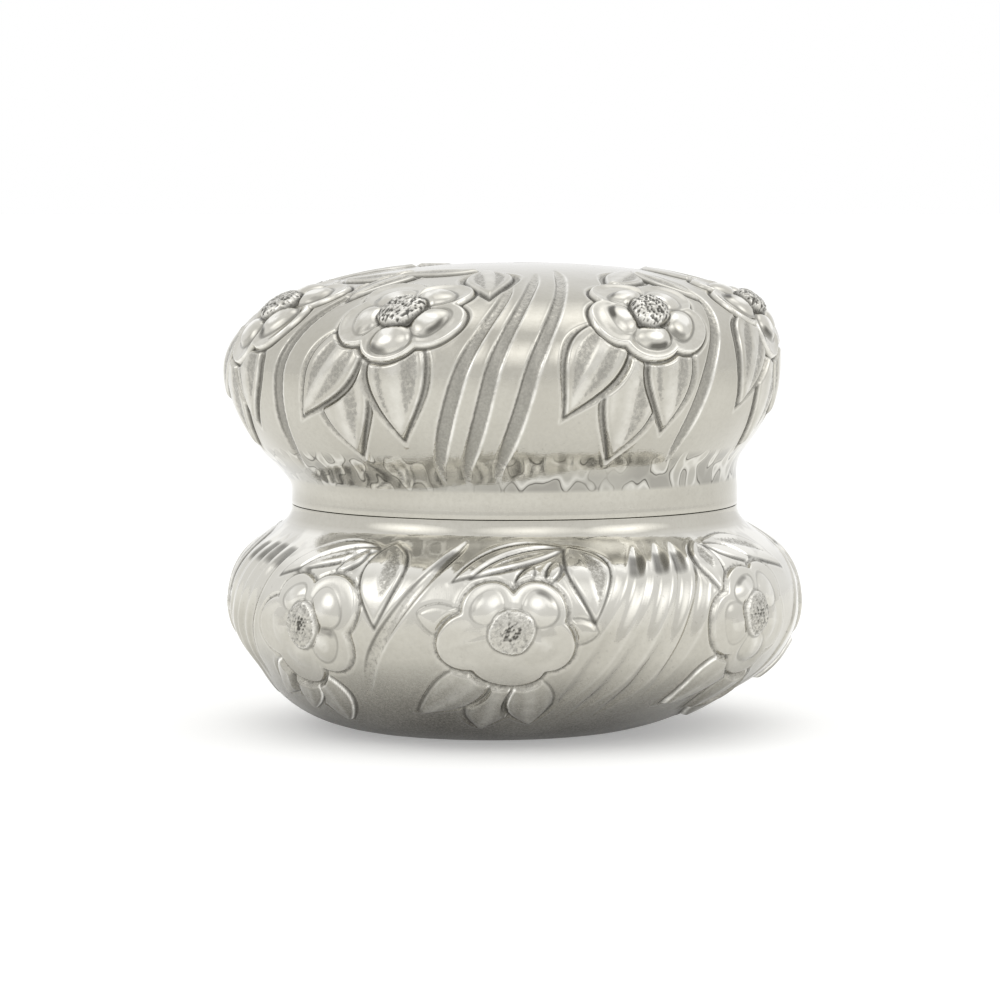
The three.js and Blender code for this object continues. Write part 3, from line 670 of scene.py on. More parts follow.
PETALS_MINUS = [(118, 10.4, 5.2, 1.1, 0.6, 0), (31, 13.8, 6.4, 1.2, 0.6, 0),
                (327, 12.2, 5.8, 1.1, 0.6, 0), (246, 13.8, 6, 0.4, 0.5, 0.4),
                (187, 14.8, 5.8, 0.4, 0.5, 0.6)]
PETALS_PLUS = [(192, 12.8, 6.2, 0.8, 0.6, 0.4), (118, 9.8, 5.6, 1.1, 0.6, 0),
               (40, 12.6, 5.6, 0.9, 0.6, 0), (344, 12.2, 5.8, 0.5, 0.5, 0.5),
               (269, 12.9, 6, 0.9, 0.6, 0)]
LID_FLOWERS = (
    (-67.5, 44, even_petals(40, 13.2, 6, 1.1, 0.62), 4.1, 20, LID_SPRIG_B),
    (-25.5, 43.9, PETALS_A, 4.2, 35, LID_SPRIG_A),
    (32.2, 43.7, PETALS_B, 4.2, 60, LID_SPRIG_B),
    (76.5, 44.6, even_petals(33, 13.2, 6, 0.9, 0.6), 3.9, 10, LID_SPRIG_B),
    (137, 45.6, even_petals(52, 13.4, 6.1, 1, 0.6), 4.2, 70, LID_SPRIG_B),
    (178, 44.8, even_petals(18, 13.3, 6, 1.1, 0.62), 4.1, 45, LID_SPRIG_A),
    (236, 45.4, even_petals(36, 13.5, 6.1, 1, 0.58), 4.2, 0, LID_SPRIG_A),
)
BASE_FLOWERS = (
    (-45, 42.1, PETALS_MINUS, 4.1, 80, BASE_SPRIG_MINUS),
    (-0.7, 42.5, PETALS_0, 4.2, 20, BASE_SPRIG_0),
    (53.9, 43.6, PETALS_PLUS, 3.9, 75, BASE_SPRIG_PLUS),
    (101, 43.2, even_petals(50, 13, 6, 0.9, 0.6), 4.1, 30, BASE_SPRIG_MINUS),
    (157, 42.8, even_petals(28, 13.2, 6, 0.9, 0.6), 4.1, 60, BASE_SPRIG_0),
    (202, 43.6, even_petals(44, 13, 5.9, 0.9, 0.6), 4, 10, BASE_SPRIG_PLUS),
    (258, 43, even_petals(56, 13.1, 6, 0.9, 0.6), 4.2, 45, BASE_SPRIG_0),
)

# How the flutes are cut. The foot and head are the lengths over which they run out. Columns: the
# lid's, the base's in their fours, and its lone ones
# bright sets a painted highlight, dark and head_dark set painted shade
LID_FLUTE, BASE_FLUTE, BASE_LONE_FLUTE = cuts_of(
    half_width=(1.35, 2, 1.35), depth=(0.6, 0.62, 0.6), wall=(0.3, 1.5, 0.5),
    foot=(14, 16, 16), head=(12, 5, 5), head_width=(0.75, 0.8, 0.9),
    satin=(0.95, 0.08, 0.28), bright=(0.9, 0.2, 0.3), dark=(0.5, 0, 0.6),
    head_dark=(0, 0.45, 0.45),
)

# Flutes of a gap, each through (azimuth, s) places, counted from the middle of the gap
LID_THREE = (
    ((-6.5, 60), (-7, 57), (-9.5, 42), (-13.5, 30), (-16.5, 20), (-19.5, 7)),
    ((3.5, 69), (-1, 57), (-2.5, 47), (-5.5, 35), (-8.5, 25), (-11.5, 15), (-14, 6.5)),
    ((15, 73), (7.6, 55), (5.4, 45), (2.6, 36), (-0.5, 25), (-3.6, 17), (-6.8, 6.5)),
)
LID_ONE = (((1.8, 64), (-2, 52), (-2.6, 40), (-4, 32), (-6.3, 25), (-7.8, 15), (-9.2, 8)),)
LID_ONE_RIGHT = (((3, 59), (-1.5, 48), (-7, 37), (-10.8, 29), (-12.8, 22), (-14.9, 10)),)
BASE_FOUR = (
    ((0.5, 61), (-2.5, 53), (-5.5, 45), (-10.5, 38), (-14.5, 30), (-17.5, 21)),
    ((6.5, 61.5), (3.5, 52), (0.2, 45), (-4.5, 36), (-8.5, 28), (-11.5, 19)),
    ((11, 61.5), (8.5, 52), (5.2, 45), (1.5, 36), (-2.5, 28), (-4.5, 19)),
    ((16.5, 61), (12.5, 50), (8.5, 42), (5, 34), (2.5, 26)),
)
BASE_ONE = (((12, 63), (9, 58), (4.3, 51), (0.2, 46), (-4.8, 38), (-8.8, 31), (-10.6, 24)),)


def blur(grid, times):
    """Softens a grid that closes on itself from side to side and stops at its top and bottom."""
    for _ in range(times):
        grid = (np.roll(grid, 1, 1) + 2 * grid + np.roll(grid, -1, 1)) / 4
        padded = np.concatenate([grid[:1], grid, grid[-1:]])
        grid = (padded[:-2] + 2 * grid + padded[2:]) / 4
    return grid


WAVES = 26
WAVE_HEIGHT = 0.035
WAVE_FADE = (14, 42)
WAVE_FOOT = 6
WAVE_ROUNDS = (2, 34)
WAVE_LENGTHS = (9, 40)
WAVE_SHARES = (0.3, 1)


def hand_marks(relief, seed):
    """Faint unevenness left by the hammer, as a sum of waves that close round the wall."""
    rng = np.random.default_rng(seed)
    azimuth = np.radians(relief.azimuth)[None, :]
    s = relief.s[:, None]
    total = np.zeros_like(relief.height)
    for _ in range(WAVES):
        round_count = int(rng.integers(*WAVE_ROUNDS))
        length = rng.uniform(*WAVE_LENGTHS)
        phase = rng.uniform(0, 2 * math.pi, 2)
        wave = np.cos(round_count * azimuth + phase[0] + 2 * math.pi * s / length)
        total += wave * rng.uniform(*WAVE_SHARES) * np.cos(s / length + phase[1])
    level = WAVE_HEIGHT / math.sqrt(WAVES) * smooth(relief.radius, *WAVE_FADE)
    return total * (level * smooth(relief.s, 0, WAVE_FOOT))[:, None]


HOLLOW_BLUR = 6
HOLLOW_DEPTHS = (0.03, 0.3)
HOLLOW_DARK = 0.19
LINING_BLUR = 24


def finish_relief(relief, flowers, seed):
    """Swells the ground, dents it by hand, eases all but the bosses and darkens what lies low."""
    for azimuth, s, *_ in flowers:
        add_swell(relief, azimuth, s)
    relief.height += hand_marks(relief, seed)
    boss = relief.tone[..., GRAIN] > 0
    relief.height = np.where(boss, relief.height, blur(relief.height, 1))
    low = smooth(blur(relief.height, HOLLOW_BLUR) - relief.height, *HOLLOW_DEPTHS)
    relief.tone[..., DARK] = np.maximum(relief.tone[..., DARK], HOLLOW_DARK * low)
    for k in (SATIN, DARK):
        relief.tone[..., k] = blur(np.clip(relief.tone[..., k], 0, 1), 1)


# Groups of flutes: the middles of the gaps that take them, the flutes and how they are cut
LID_GROUPS = (
    ((4.5, 106.5, 207, 264.5), LID_THREE, LID_FLUTE),
    ((-46.75, 157.5), LID_ONE, LID_FLUTE),
    ((55.75,), LID_ONE_RIGHT, LID_FLUTE),
)
BASE_GROUPS = (
    ((27.5, 129, 230, 286), BASE_FOUR, BASE_FLUTE),
    ((-23.25, 78.25, 179.5), BASE_ONE, BASE_LONE_FLUTE),
)
LID_SPRIG_REACH = 37
BASE_SPRIG_REACH = 32
LID_SEEDS = (0, 11)
BASE_SEEDS = (20, 12)


def chased(outline, groups, flowers, sprig_reach, leaf_cut, flower_cut, seeds):
    """A wall's relief. Seeds: the first flower's and the hand marks'."""
    relief = Relief(outline)
    for middles, flutes, cut in groups:
        for middle in middles:
            for places in flutes:
                add_flute(relief, [(azimuth + middle, s) for azimuth, s in places], cut)
    for seed, (*flower, sprig) in enumerate(flowers, seeds[0]):
        patch = Patch(relief, *flower[:2], sprig_reach)
        for leaf in sprig:
            add_leaf(patch, leaf, leaf_cut(leaf))
        add_flower(relief, flower, flower_cut, seed)
    finish_relief(relief, flowers, seeds[1])
    return relief


def lid_relief():
    cuts = lid_leaf_cut, LID_FLOWER
    relief = chased(lid_outline(), LID_GROUPS, LID_FLOWERS, LID_SPRIG_REACH, *cuts, LID_SEEDS)
    half = BEAD_HEIGHT / 2
    relief.height += BEAD_PROUD * hump((relief.s[:, None] - half) / half)
    return relief


def base_relief():
    cuts = base_leaf_cut, BASE_FLOWER
    return chased(base_outline(), BASE_GROUPS, BASE_FLOWERS, BASE_SPRIG_REACH, *cuts, BASE_SEEDS)


# Meshes


class Skin:
    """A closed wall gathered row by row. Neighbouring rows have as many columns, half, or one."""

    def __init__(self):
        self.points, self.tones, self.counts, self.travels = [], [], [], []

    def travel_to(self, points):
        return self.travels[-1] + float(np.linalg.norm(points[0] - self.points[-1][0]))

    def add(self, points, tones=None):
        self.travels.append(self.travel_to(points) if self.points else 0.0)
        self.points.append(points)
        self.tones.append(np.zeros((len(points), 4)) if tones is None else tones)
        self.counts.append(len(points))

    def mesh(self, name, toned):
        starts = np.concatenate([[0], np.cumsum(self.counts)])
        total = self.travel_to(self.points[0])
        corners, sizes, uvs = [], [], []
        rows = len(self.counts)
        for a in range(rows):
            b = (a + 1) % rows
            if self.counts[a] == self.counts[b] == 1:
                continue
            for upper, column in strip(self.counts[a], self.counts[b]):
                upper = np.array(upper, bool)[None, :]
                around = np.where(upper, self.counts[b], self.counts[a])
                start = np.where(upper, starts[b], starts[a])
                corners.append((start + column % around).ravel())
                sizes.append(np.full(len(column), column.shape[1]))
                travel = np.where(upper, self.travels[b] if b else total, self.travels[a])
                travel = np.broadcast_to(travel / total, column.shape)
                uvs.append(np.stack([column / around, travel], -1).reshape(-1, 2))
        points, corners, sizes, uvs = map(np.concatenate, (self.points, corners, sizes, uvs))
        mesh = make_mesh(name, points * MM, corners, sizes, uvs)
        if toned:
            tone = mesh.attributes.new("tone", "FLOAT_COLOR", "POINT")
            tone.data.foreach_set("color", np.concatenate(self.tones).astype(np.float32).ravel())
        return mesh


def strip(lower, upper):
    """Groups of faces between two rows: which corners are on the upper row, and their columns."""
    if lower < upper:
        turned = strip(upper, lower)
        return [([1 - row for row in rows[::-1]], column[:, ::-1]) for rows, column in turned]
    j = np.arange(lower if upper == 1 else upper)[:, None]
    if lower == upper:
        return [((0, 0, 1, 1), j + [0, 1, 1, 0])]
    if upper == 1:
        return [((0, 0, 1), np.concatenate([j, j + 1, 0 * j], 1))]
    return [
        ((0, 0, 1), np.concatenate([2 * j, 2 * j + 1, j], 1)),
        ((0, 1, 1), np.concatenate([2 * j + 1, j + 1, j], 1)),
        ((0, 0, 1), np.concatenate([2 * j + 1, 2 * j + 2, j + 1], 1)),
    ]


def make_mesh(name, points, corners, sizes, uvs):
    mesh = bpy.data.meshes.new(name)
    mesh.vertices.add(len(points))
    mesh.vertices.foreach_set("co", points.astype(np.float32).ravel())
    mesh.loops.add(len(corners))
    mesh.loops.foreach_set("vertex_index", corners.astype(np.int32))
    mesh.polygons.add(len(sizes))
    starts = np.concatenate([[0], np.cumsum(sizes)[:-1]]).astype(np.int32)
    mesh.polygons.foreach_set("loop_start", starts)
    mesh.update(calc_edges=True)
    mesh.shade_smooth()
    layer = mesh.uv_layers.new(name="OFBake")
    layer.uv.foreach_set("vector", uvs.astype(np.float32).ravel())
    return mesh


def link(name, data):
    thing = bpy.data.objects.new(name, data)
    bpy.context.scene.collection.objects.link(thing)
    return thing


def show(mesh, body, material, node=None):
    piece = link(mesh.name, mesh)
    mesh.materials.append(material)
    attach(piece, body)
    if node:
        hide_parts(node)


LIP_ROUND = 0.1
LIP_REACH = 0.08
LIP_STEPS = 3
OUTER_MARGIN = 2 * LIP_ROUND
INNER_MARGIN = 4 * LIP_ROUND
LINING_STRIDE = 4

# Zones of a wall's rows from its lower edge up: where each ends, what share of the columns it
# keeps, as a divisor, and every how many rows it keeps
LID_ZONES = (
    (2.1, 2, 1), (6.0, 2, 2), (71.0, 1, 1), (80.0, 2, 2), (87.0, 4, 3), (92.0, 8, 4), (94.5, 16, 4)
)
LID_LINING_ZONES = ((80.0, 4, LINING_STRIDE), (88.0, 8, LINING_STRIDE), (94.0, 16, LINING_STRIDE))
BASE_ZONES = ((4.0, 4, 2), (14.0, 2, 2), (63.5, 1, 1), (70.0, 2, 1))
BASE_LINING_ZONES = ((70.0, 4, LINING_STRIDE),)


def turns(count):
    return np.arange(count) * FULL_TURN / count


def wall_rows(relief, zones, mouth_at_top, margin):
    """The relief's rows to keep outside a margin at the mouth, as (row, columns)."""
    low, rows = 0.0, []
    from_mouth = relief.outline.length - relief.s if mouth_at_top else relief.s
    for top, divisor, stride in zones:
        inside = np.nonzero((relief.s >= low) & (relief.s < top))[0][::stride]
        rows += [(i, COLUMNS // divisor) for i in inside if from_mouth[i] > margin]
        low = top
    return rows


def wall_mesh(name, relief, zones, lining_zones, mouth_at_top):
    """A wall's skin from its foot up, its lining back down, and its rounded mouth."""
    outline = relief.outline
    lining = blur(relief.height, LINING_BLUR)
    skin = Skin()

    def add(s, lift, count, tones=None, rise=0.0):
        every = COLUMNS // count
        tones = None if tones is None else tones[::every]
        points = outline.place(turns(count), np.full(count, s), lift[::every])
        points[:, 2] += rise
        skin.add(points, tones)

    def add_lip(count, outer, downward):
        """Rounds a corner of the mouth, from the skin to the cut or from the cut to the lining."""
        edge = outline.length if mouth_at_top else 0.0
        into = -1 if mouth_at_top else 1
        row = relief.height[-1 if mouth_at_top else 0]
        angles = np.linspace(0, math.pi / 2, LIP_STEPS + 1)
        for angle in angles[::-1] if downward else angles:
            s = edge + into * LIP_ROUND * (1 - math.sin(angle))
            drop = LIP_ROUND * (1 - math.cos(angle))
            lift = row - drop if outer else row - GAUGE + drop
            add(s, lift, count, rise=-into * LIP_REACH)

    outer = wall_rows(relief, zones, mouth_at_top, OUTER_MARGIN)
    inner = wall_rows(relief, lining_zones, mouth_at_top, INNER_MARGIN)[::-1]
    if not mouth_at_top:
        add_lip(outer[0][1], True, True)
    for i, count in outer:
        add(relief.s[i], relief.height[i], count, relief.tone[i])
    if mouth_at_top:
        add_lip(outer[-1][1], True, False)
        add_lip(inner[0][1], False, True)
    else:
        for lift in (0.0, -GAUGE):
            skin.add(outline.place(turns(1), np.full(1, outline.length), np.full(1, lift)))
    for i, count in inner:
        add(relief.s[i], lining[i] - GAUGE, count)
    if mouth_at_top:
        add(0.0, lining[0] - GAUGE, inner[-1][1])
    else:
        add_lip(inner[-1][1], False, False)
    return skin.mesh(name, True)


CORNER_MOST_SHARE = 0.45
CORNER_STEPS = 3
RING_CORNER = 0.18
COLLAR_CORNER = 0.16


def soft_corners(section, radius):
    """Rounds every corner of a closed section of (radius, height) points."""
    points = np.array(section, float)
    before, after = np.roll(points, 1, 0), np.roll(points, -1, 0)
    eased = []
    for corner, *others in zip(points, before, after):
        ends = []
        for other in others:
            span = np.linalg.norm(other - corner)
            ends.append(corner + (other - corner) * min(radius, span * CORNER_MOST_SHARE) / span)
        for t in np.linspace(0, 1, CORNER_STEPS + 1):
            eased.append((1 - t) ** 2 * ends[0] + 2 * t * (1 - t) * corner + t * t * ends[1])
    return eased


def turned_mesh(name, section, centre_x=0.0):
    """Spins a closed section, given against the clock as radius runs right and height up."""
    skin = Skin()
    for radius, height in section:
        skin.add(circle(turns(RING_SEGMENTS if radius else 1), radius, height, centre_x))
    return skin.mesh(name, False)


def ring_section(bottom, lead_at_top):
    top = bottom + RING_HEIGHT
    if lead_at_top:
        lead = [(RING_INNER + RING_CHAMFER, top), (RING_INNER, top - RING_CHAMFER)]
        section = [(RING_INNER, bottom), (RING_OUTER, bottom), (RING_OUTER, top), *lead]
    else:
        lead = [(RING_INNER, bottom + RING_CHAMFER), (RING_INNER + RING_CHAMFER, bottom)]
        section = [*lead, (RING_OUTER, bottom), (RING_OUTER, top), (RING_INNER, top)]
    return soft_corners(section, RING_CORNER)


def collar_section():
    lead = (COLLAR_OUTER - COLLAR_INNER) / 2
    section = [
        (COLLAR_INNER, COLLAR_BOTTOM),
        (COLLAR_OUTER, COLLAR_BOTTOM),
        (COLLAR_OUTER, COLLAR_TOP - lead),
        (COLLAR_OUTER - lead, COLLAR_TOP),
        (COLLAR_INNER, COLLAR_TOP),
    ]
    return soft_corners(section, COLLAR_CORNER)


SOLDER_SIZE = 0.55
SOLDER_BITE = 0.12
SOLDER_STEPS = 6


def solder_section(radius, height, side, up):
    """A hollow-faced fillet in the corner at (radius, height): side and up say where it lies."""
    turn = np.linspace(0, math.pi / 2, SOLDER_STEPS + 1)
    x = SOLDER_SIZE * (1 - np.sin(turn))
    y = SOLDER_SIZE * (1 - np.cos(turn))
    arc = [(radius + side * a, height + up * b) for a, b in zip(x, y)]
    corner = (radius - side * SOLDER_BITE, height - up * SOLDER_BITE)
    section = [corner, (arc[0][0], corner[1]), *arc, (corner[0], arc[-1][1])]
    return section if side * up > 0 else section[::-1]


DISC_RISE = 0.35
DISC_UPPER_SHARE = 0.6
DISC_RIM = 1.4
DISC_CORNER = 0.12
DISC_STEPS = 24


def disc_section():
    """The bottom disc, pushed up a little in the middle so that the box stands on its rim."""
    reach = DISC_RADIUS - DISC_RIM
    radii = np.append(np.linspace(0, reach, DISC_STEPS), DISC_RADIUS - DISC_CORNER)
    rise = DISC_RISE * np.clip(1 - (radii / reach) ** 2, 0, None) ** 2
    under = list(zip(radii, rise))
    over = [(r, DISC_GAUGE + h * DISC_UPPER_SHARE) for r, h in under[::-1]]
    return [*under, (DISC_RADIUS, DISC_CORNER), (DISC_RADIUS, DISC_GAUGE - DISC_CORNER), *over]


# Materials

POLISH = (0.53, 0.513, 0.457, 1)
# A painted sheen on the base's shoulder, where it faces up to the lamps
SHOULDER_SHEEN = (0.64, 0.625, 0.575, 1)
# Painted highlights and painted reflections, and burnish on the edges
BURNISH_AND_HIGHLIGHT = (0.92, 0.905, 0.855, 1)
# Painted shade in the hollow of the lid's neck
NECK_SHADE = (0.42, 0.408, 0.368, 1)
SHADY = (0.3, 0.29, 0.262, 1)
SATIN_TINT = (0.31, 0.3, 0.27, 1)
# Soot in the chased lines and pits, and painted shade and painted dark reflections
SOOT_AND_SHADE = (0.05, 0.047, 0.04, 1)
WARM = (0.44, 0.42, 0.368, 1)
# Painted shade, darker towards the bottom of the bowl
LOW_SHADE = (0.115, 0.107, 0.092, 1)
COLLAR_TINT = (0.6, 0.585, 0.55, 1)
DISC_TINT = (0.55, 0.535, 0.5, 1)
DISC_WORN = (0.45, 0.43, 0.39, 1)
SOLDER_LIGHT = (0.4, 0.385, 0.35, 1)
SOLDER_DARK = (0.24, 0.23, 0.2, 1)
RING_ROUGHNESS = 0.16
COLLAR_ROUGHNESS = 0.24
DISC_ROUGHNESS = 0.26

# Noises: scale, detail and roughness
NOISES = dict(
    cloud=(45, 3, 0.5), smudge=(160, 4, 0.6), grain=(5200, 2, 0.6),
    speck=(2100, 2, 0.7), ragged=(1300, 3, 0.6), worn=(380, 3, 0.6),
    fleck=(1100, 4, 0.7), wander=(90, 3, 0.5), shade=(130, 2, 0.5),
    mottle=(620, 3, 0.55), neck=(60, 1, 0.5), curls=(330, 0.3, 0.4),
    lathe=(4200, 3, 0.6), cloth=(190, 4, 0.6), lathe_cloud=(60, 3, 0.5),
    blot=(700, 4, 0.6), solder_pits=(3000, 2, 0.6),
)

# Streaks: noises drawn out along a line, by scale each way, turn, detail and roughness
STREAKS = dict(
    hair=((900, 900, 5200), (0.3, 0.2, 0.4), 2, 0.6),
    scratch=((5200, 700, 900), (0.5, 0.1, 0.9), 2, 0.6),
    scuff=((3600, 260, 900), (0.1, 0.2, 0.7), 3, 0.7),
)

# Ranges: what is read as nought and as one, or as the two further values where there are four
RANGES = dict(
    ragged=(0.3, 0.7, -0.3, 0.3), satin=(0.22, 0.62), dark=(0.2, 0.52),
    boss=(0.05, 0.25), pit=(0.42, 0.68), worn=(0.35, 0.6, 0.45, 1),
    uneven=(0.3, 0.7, -0.002, 0.002), low=(0.0185, 0.002), away=(0.008, 0.015),
    warm=(0.4, 0.75, 0, 0.6), fleck=(0.42, 0.7, 0, 0.45),
    wander=(0.3, 0.7, -0.0035, 0.0035), shade=(0.45, 0.55, 0, 0.3),
    neck=(0.36, 0.5, 0.2, 1), curl_hollow=(0.5, 0.38, 0, 0.7),
    curl_line=(0.025, 0.006, 0, 0.75), speckled=(0.3, 0.62, 0.55, 1),
    low_shade_speck=(0.35, 0.65, 0.7, 1.1), low_shade_grain=(0.4, 0.65, 0, 0.65),
    burnish_and_glint_low=(0, 1, 1, 0.7), sooted_and_shaded=(0, 1, 0, 0.85), pitted=(0, 1, 0, 0.9),
    smudge=(0.35, 0.7, 0.03, 0.07), mottle=(0, 1, 0.25, 1),
    lathe_worn=(0.4, 0.72, 0, 0.6), cloth=(0.35, 0.7, 0, 0.12),
    scuff=(0.62, 0.8, 0, 0.12), solder=(0.3, 0.7, 0.3, 0.48),
)

# Bands: a rise between the first two values, a fall between the next two, and the most reached.
# All but the curls' are heights up the box in metres
# They place painted light and shade: a sheen, highlights, shade and the neck's painted reflections
BANDS = dict(
    shoulder=(0.024, 0.03, 0.0405, 0.042, 1), shoulder_lit=(0.034, 0.037, 0.04, 0.0412, 0.8),
    throat_lit=(0.0402, 0.0412, 0.0437, 0.0444, 0.08),
    shade=(0.0355, 0.0363, 0.043, 0.0435, 1), shade_zone=(0.0335, 0.035, 0.0405, 0.0413, 1),
    neck=(0.0496, 0.0503, 0.0525, 0.0545, 1), mirrored=(0.0496, 0.0503, 0.0555, 0.057, 1),
    curl_lit=(0.52, 0.58, 0.6, 0.68, 0.4),
)
CURL_STRETCH = (1, 1, 0.65)
CURL_MIDDLE = 0.5
SEAM_SHINE_HEIGHT = 0.0475

# How much each field adds to the roughness, and how much of it the fine grain marks
ROUGHENED = dict(away=0.05, satin=0.27, dark=0.2, low=0.3)
GRAINED = dict(satin=0.9, low=0.5, boss=0.5)

# Depths of the finest marks, in metres
DEPTHS = dict(
    mottle=0.000016, hair=0.000006, scratch=0.000005, grain=0.00003,
    lathe=0.000012, scuff=0.000008, solder_pits=0.00004,
)


class Net:
    """The nodes of a material, each made and wired by one call."""

    def __init__(self, tree):
        self.tree = tree

    def node(self, kind, inputs=None, **settings):
        made = self.tree.nodes.new("ShaderNode" + kind)
        for key, value in settings.items():
            setattr(made, key, value)
        for key, value in (inputs or {}).items():
            if isinstance(value, bpy.types.NodeSocket):
                self.tree.links.new(value, made.inputs[key])
            else:
                made.inputs[key].default_value = value
        return made

    def place(self):
        return self.node("TexCoord").outputs["Object"]

    def maths(self, operation, a, b=0.0):
        return self.node("Math", {0: a, 1: b}, operation=operation).outputs[0]

    def plus(self, a, b):
        return self.maths("ADD", a, b)

    def times(self, a, b):
        return self.maths("MULTIPLY", a, b)

    def most(self, a, b):
        return self.maths("MAXIMUM", a, b)

    def gap(self, a, b):
        return self.maths("ABSOLUTE", self.maths("SUBTRACT", a, b))

    def total(self, start, field, shares):
        for name, share in shares.items():
            start = self.plus(start, self.times(getattr(field, name), share))
        return start

    def ramp(self, value, low, high, to_low=0.0, to_high=1.0):
        inputs = {0: value, 1: low, 2: high, 3: to_low, 4: to_high}
        return self.node("MapRange", inputs).outputs[0]

    def read(self, value, name):
        return self.ramp(value, *RANGES[name])

    def band(self, value, name):
        low, low_full, high_full, high, most = BANDS[name]
        rise = self.ramp(value, low, low_full, 0, most)
        return self.times(rise, self.ramp(value, high, high_full))

    def noise(self, where, name):
        scale, detail, rough = NOISES[name]
        inputs = {"Vector": where, "Scale": scale, "Detail": detail, "Roughness": rough}
        return self.node("TexNoise", inputs).outputs[0]

    def stretched(self, where, factors, turn=(0.0, 0.0, 0.0)):
        inputs = {"Vector": where, "Scale": factors, "Rotation": turn}
        return self.node("Mapping", inputs).outputs[0]

    def streaks(self, where, name):
        factors, turn, detail, rough = STREAKS[name]
        drawn = self.stretched(where, factors, turn)
        inputs = {"Vector": drawn, "Scale": 1, "Detail": detail, "Roughness": rough}
        return self.node("TexNoise", inputs).outputs[0]

    def mixed(self, share, a, b):
        return self.node("Mix", {0: share, 6: a, 7: b}, data_type="RGBA").outputs[2]

    def painted(self, colour, layers):
        """Lays (share, tint) layers over a colour in turn."""
        for share, tint in layers:
            colour = self.mixed(share, colour, tint)
        return colour

    def carved(self, layers):
        """Lays fine (height, name of the depth) marks one upon another."""
        normal = {}
        for height, name in layers:
            inputs = {"Height": height, "Distance": DEPTHS[name], "Strength": 1.0, **normal}
            normal = {"Normal": self.node("Bump", inputs).outputs[0]}
        return normal["Normal"]


def new_material(name):
    material = bpy.data.materials.new(name)
    material.use_nodes = True
    return material, Net(material.node_tree), material.node_tree.nodes["Principled BSDF"]


def metal(name, work):
    """A metal whose work gives its colour, roughness and normal."""
    material, net, shader = new_material(name)
    for socket, value in zip(("Base Color", "Roughness", "Normal"), work(net)):
        net.tree.links.new(value, shader.inputs[socket])
    shader.inputs["Metallic"].default_value = 1.0
    return material


def chased_fields(net):
    """What the walls' colour, roughness and marks follow: noises, painted tones and heights."""
    where = net.place()
    height = net.node("SeparateXYZ", {0: where}).outputs[2]
    field = SimpleNamespace(where=where, height=height)
    for name in ("cloud", "smudge", "grain", "speck", "fleck", "mottle"):
        setattr(field, name, net.noise(where, name))
    tone = net.node("Attribute", attribute_name="tone").outputs
    satin, dark, stippled = net.node("SeparateColor", {0: tone["Color"]}).outputs
    ragged = net.read(net.noise(where, "ragged"), "ragged")
    field.satin = net.read(net.plus(satin, ragged), "satin")
    field.dark = net.read(dark, "dark")
    field.boss = net.read(stippled, "boss")
    field.pit = net.read(stippled, "pit")
    # The edge share: burnish and painted highlights, broken up by wear
    field.edge = net.times(tone["Alpha"], net.read(net.noise(where, "worn"), "worn"))
    field.low = net.read(net.plus(height, net.read(field.cloud, "uneven")), "low")
    field.away = net.read(net.gap(height, SEAM_SHINE_HEIGHT), "away")
    return field


def ground_layers(net, field):
    """The polish: warmer in clouds and flecks, and lit and shaded in bands up the box."""
    height = field.height
    lit = net.most(net.band(height, "shoulder_lit"), net.band(height, "throat_lit"))
    moved = net.plus(height, net.read(net.noise(field.where, "wander"), "wander"))
    shade = net.times(net.band(moved, "shade"), net.band(height, "shade_zone"))
    shade = net.times(shade, net.read(net.noise(field.where, "shade"), "shade"))
    return [
        (net.read(field.cloud, "warm"), WARM),
        (net.read(field.fleck, "fleck"), WARM),
        (net.band(height, "shoulder"), SHOULDER_SHEEN),
        (lit, BURNISH_AND_HIGHLIGHT),
        (shade, SHADY),
        (net.band(height, "neck"), NECK_SHADE),
    ]


def mirrored_layers(net, field):
    """Curled light and dark shapes in the hollow of the neck, where polish doubles the chasing."""
    patches = net.read(net.noise(field.where, "neck"), "neck")
    zone = net.times(net.band(field.height, "mirrored"), patches)
    curls = net.noise(net.stretched(field.where, CURL_STRETCH), "curls")
    shapes = (
        (net.read(curls, "curl_hollow"), SHADY),
        (net.band(curls, "curl_lit"), BURNISH_AND_HIGHLIGHT),
        (net.read(net.gap(curls, CURL_MIDDLE), "curl_line"), SOOT_AND_SHADE),
    )
    return [(net.times(zone, share), tint) for share, tint in shapes]


def worked_layers(net, field):
    """Satin, painted shade low on the bowl, rubbed edges with painted highlights, and soot in the
    lines and pits with painted shade.
    """
    sooted_and_shaded = net.most(net.read(field.dark, "sooted_and_shaded"), net.read(field.pit, "pitted"))
    return [
        (net.times(field.satin, net.read(field.speck, "speckled")), SATIN_TINT),
        (net.times(field.low, net.read(field.speck, "low_shade_speck")), LOW_SHADE),
        (net.times(field.low, net.read(field.grain, "low_shade_grain")), SOOT_AND_SHADE),
        (net.times(field.edge, net.read(field.low, "burnish_and_glint_low")), BURNISH_AND_HIGHLIGHT),
        (sooted_and_shaded, SOOT_AND_SHADE),
    ]


def chased_silver(net):
    """Polished on the high places, satin in the chased ones and dark in the lines, with painted
    light and shade.
    """
    field = chased_fields(net)
    layers = ground_layers(net, field) + mirrored_layers(net, field) + worked_layers(net, field)
    rough = net.total(net.read(field.smudge, "smudge"), field, ROUGHENED)
    marks = [
        (net.times(field.mottle, net.read(field.away, "mottle")), "mottle"),
        (net.streaks(field.where, "hair"), "hair"),
        (net.streaks(field.where, "scratch"), "scratch"),
        (net.times(field.grain, net.total(0.0, field, GRAINED)), "grain"),
    ]
    return net.painted(POLISH, layers), rough, net.carved(marks)


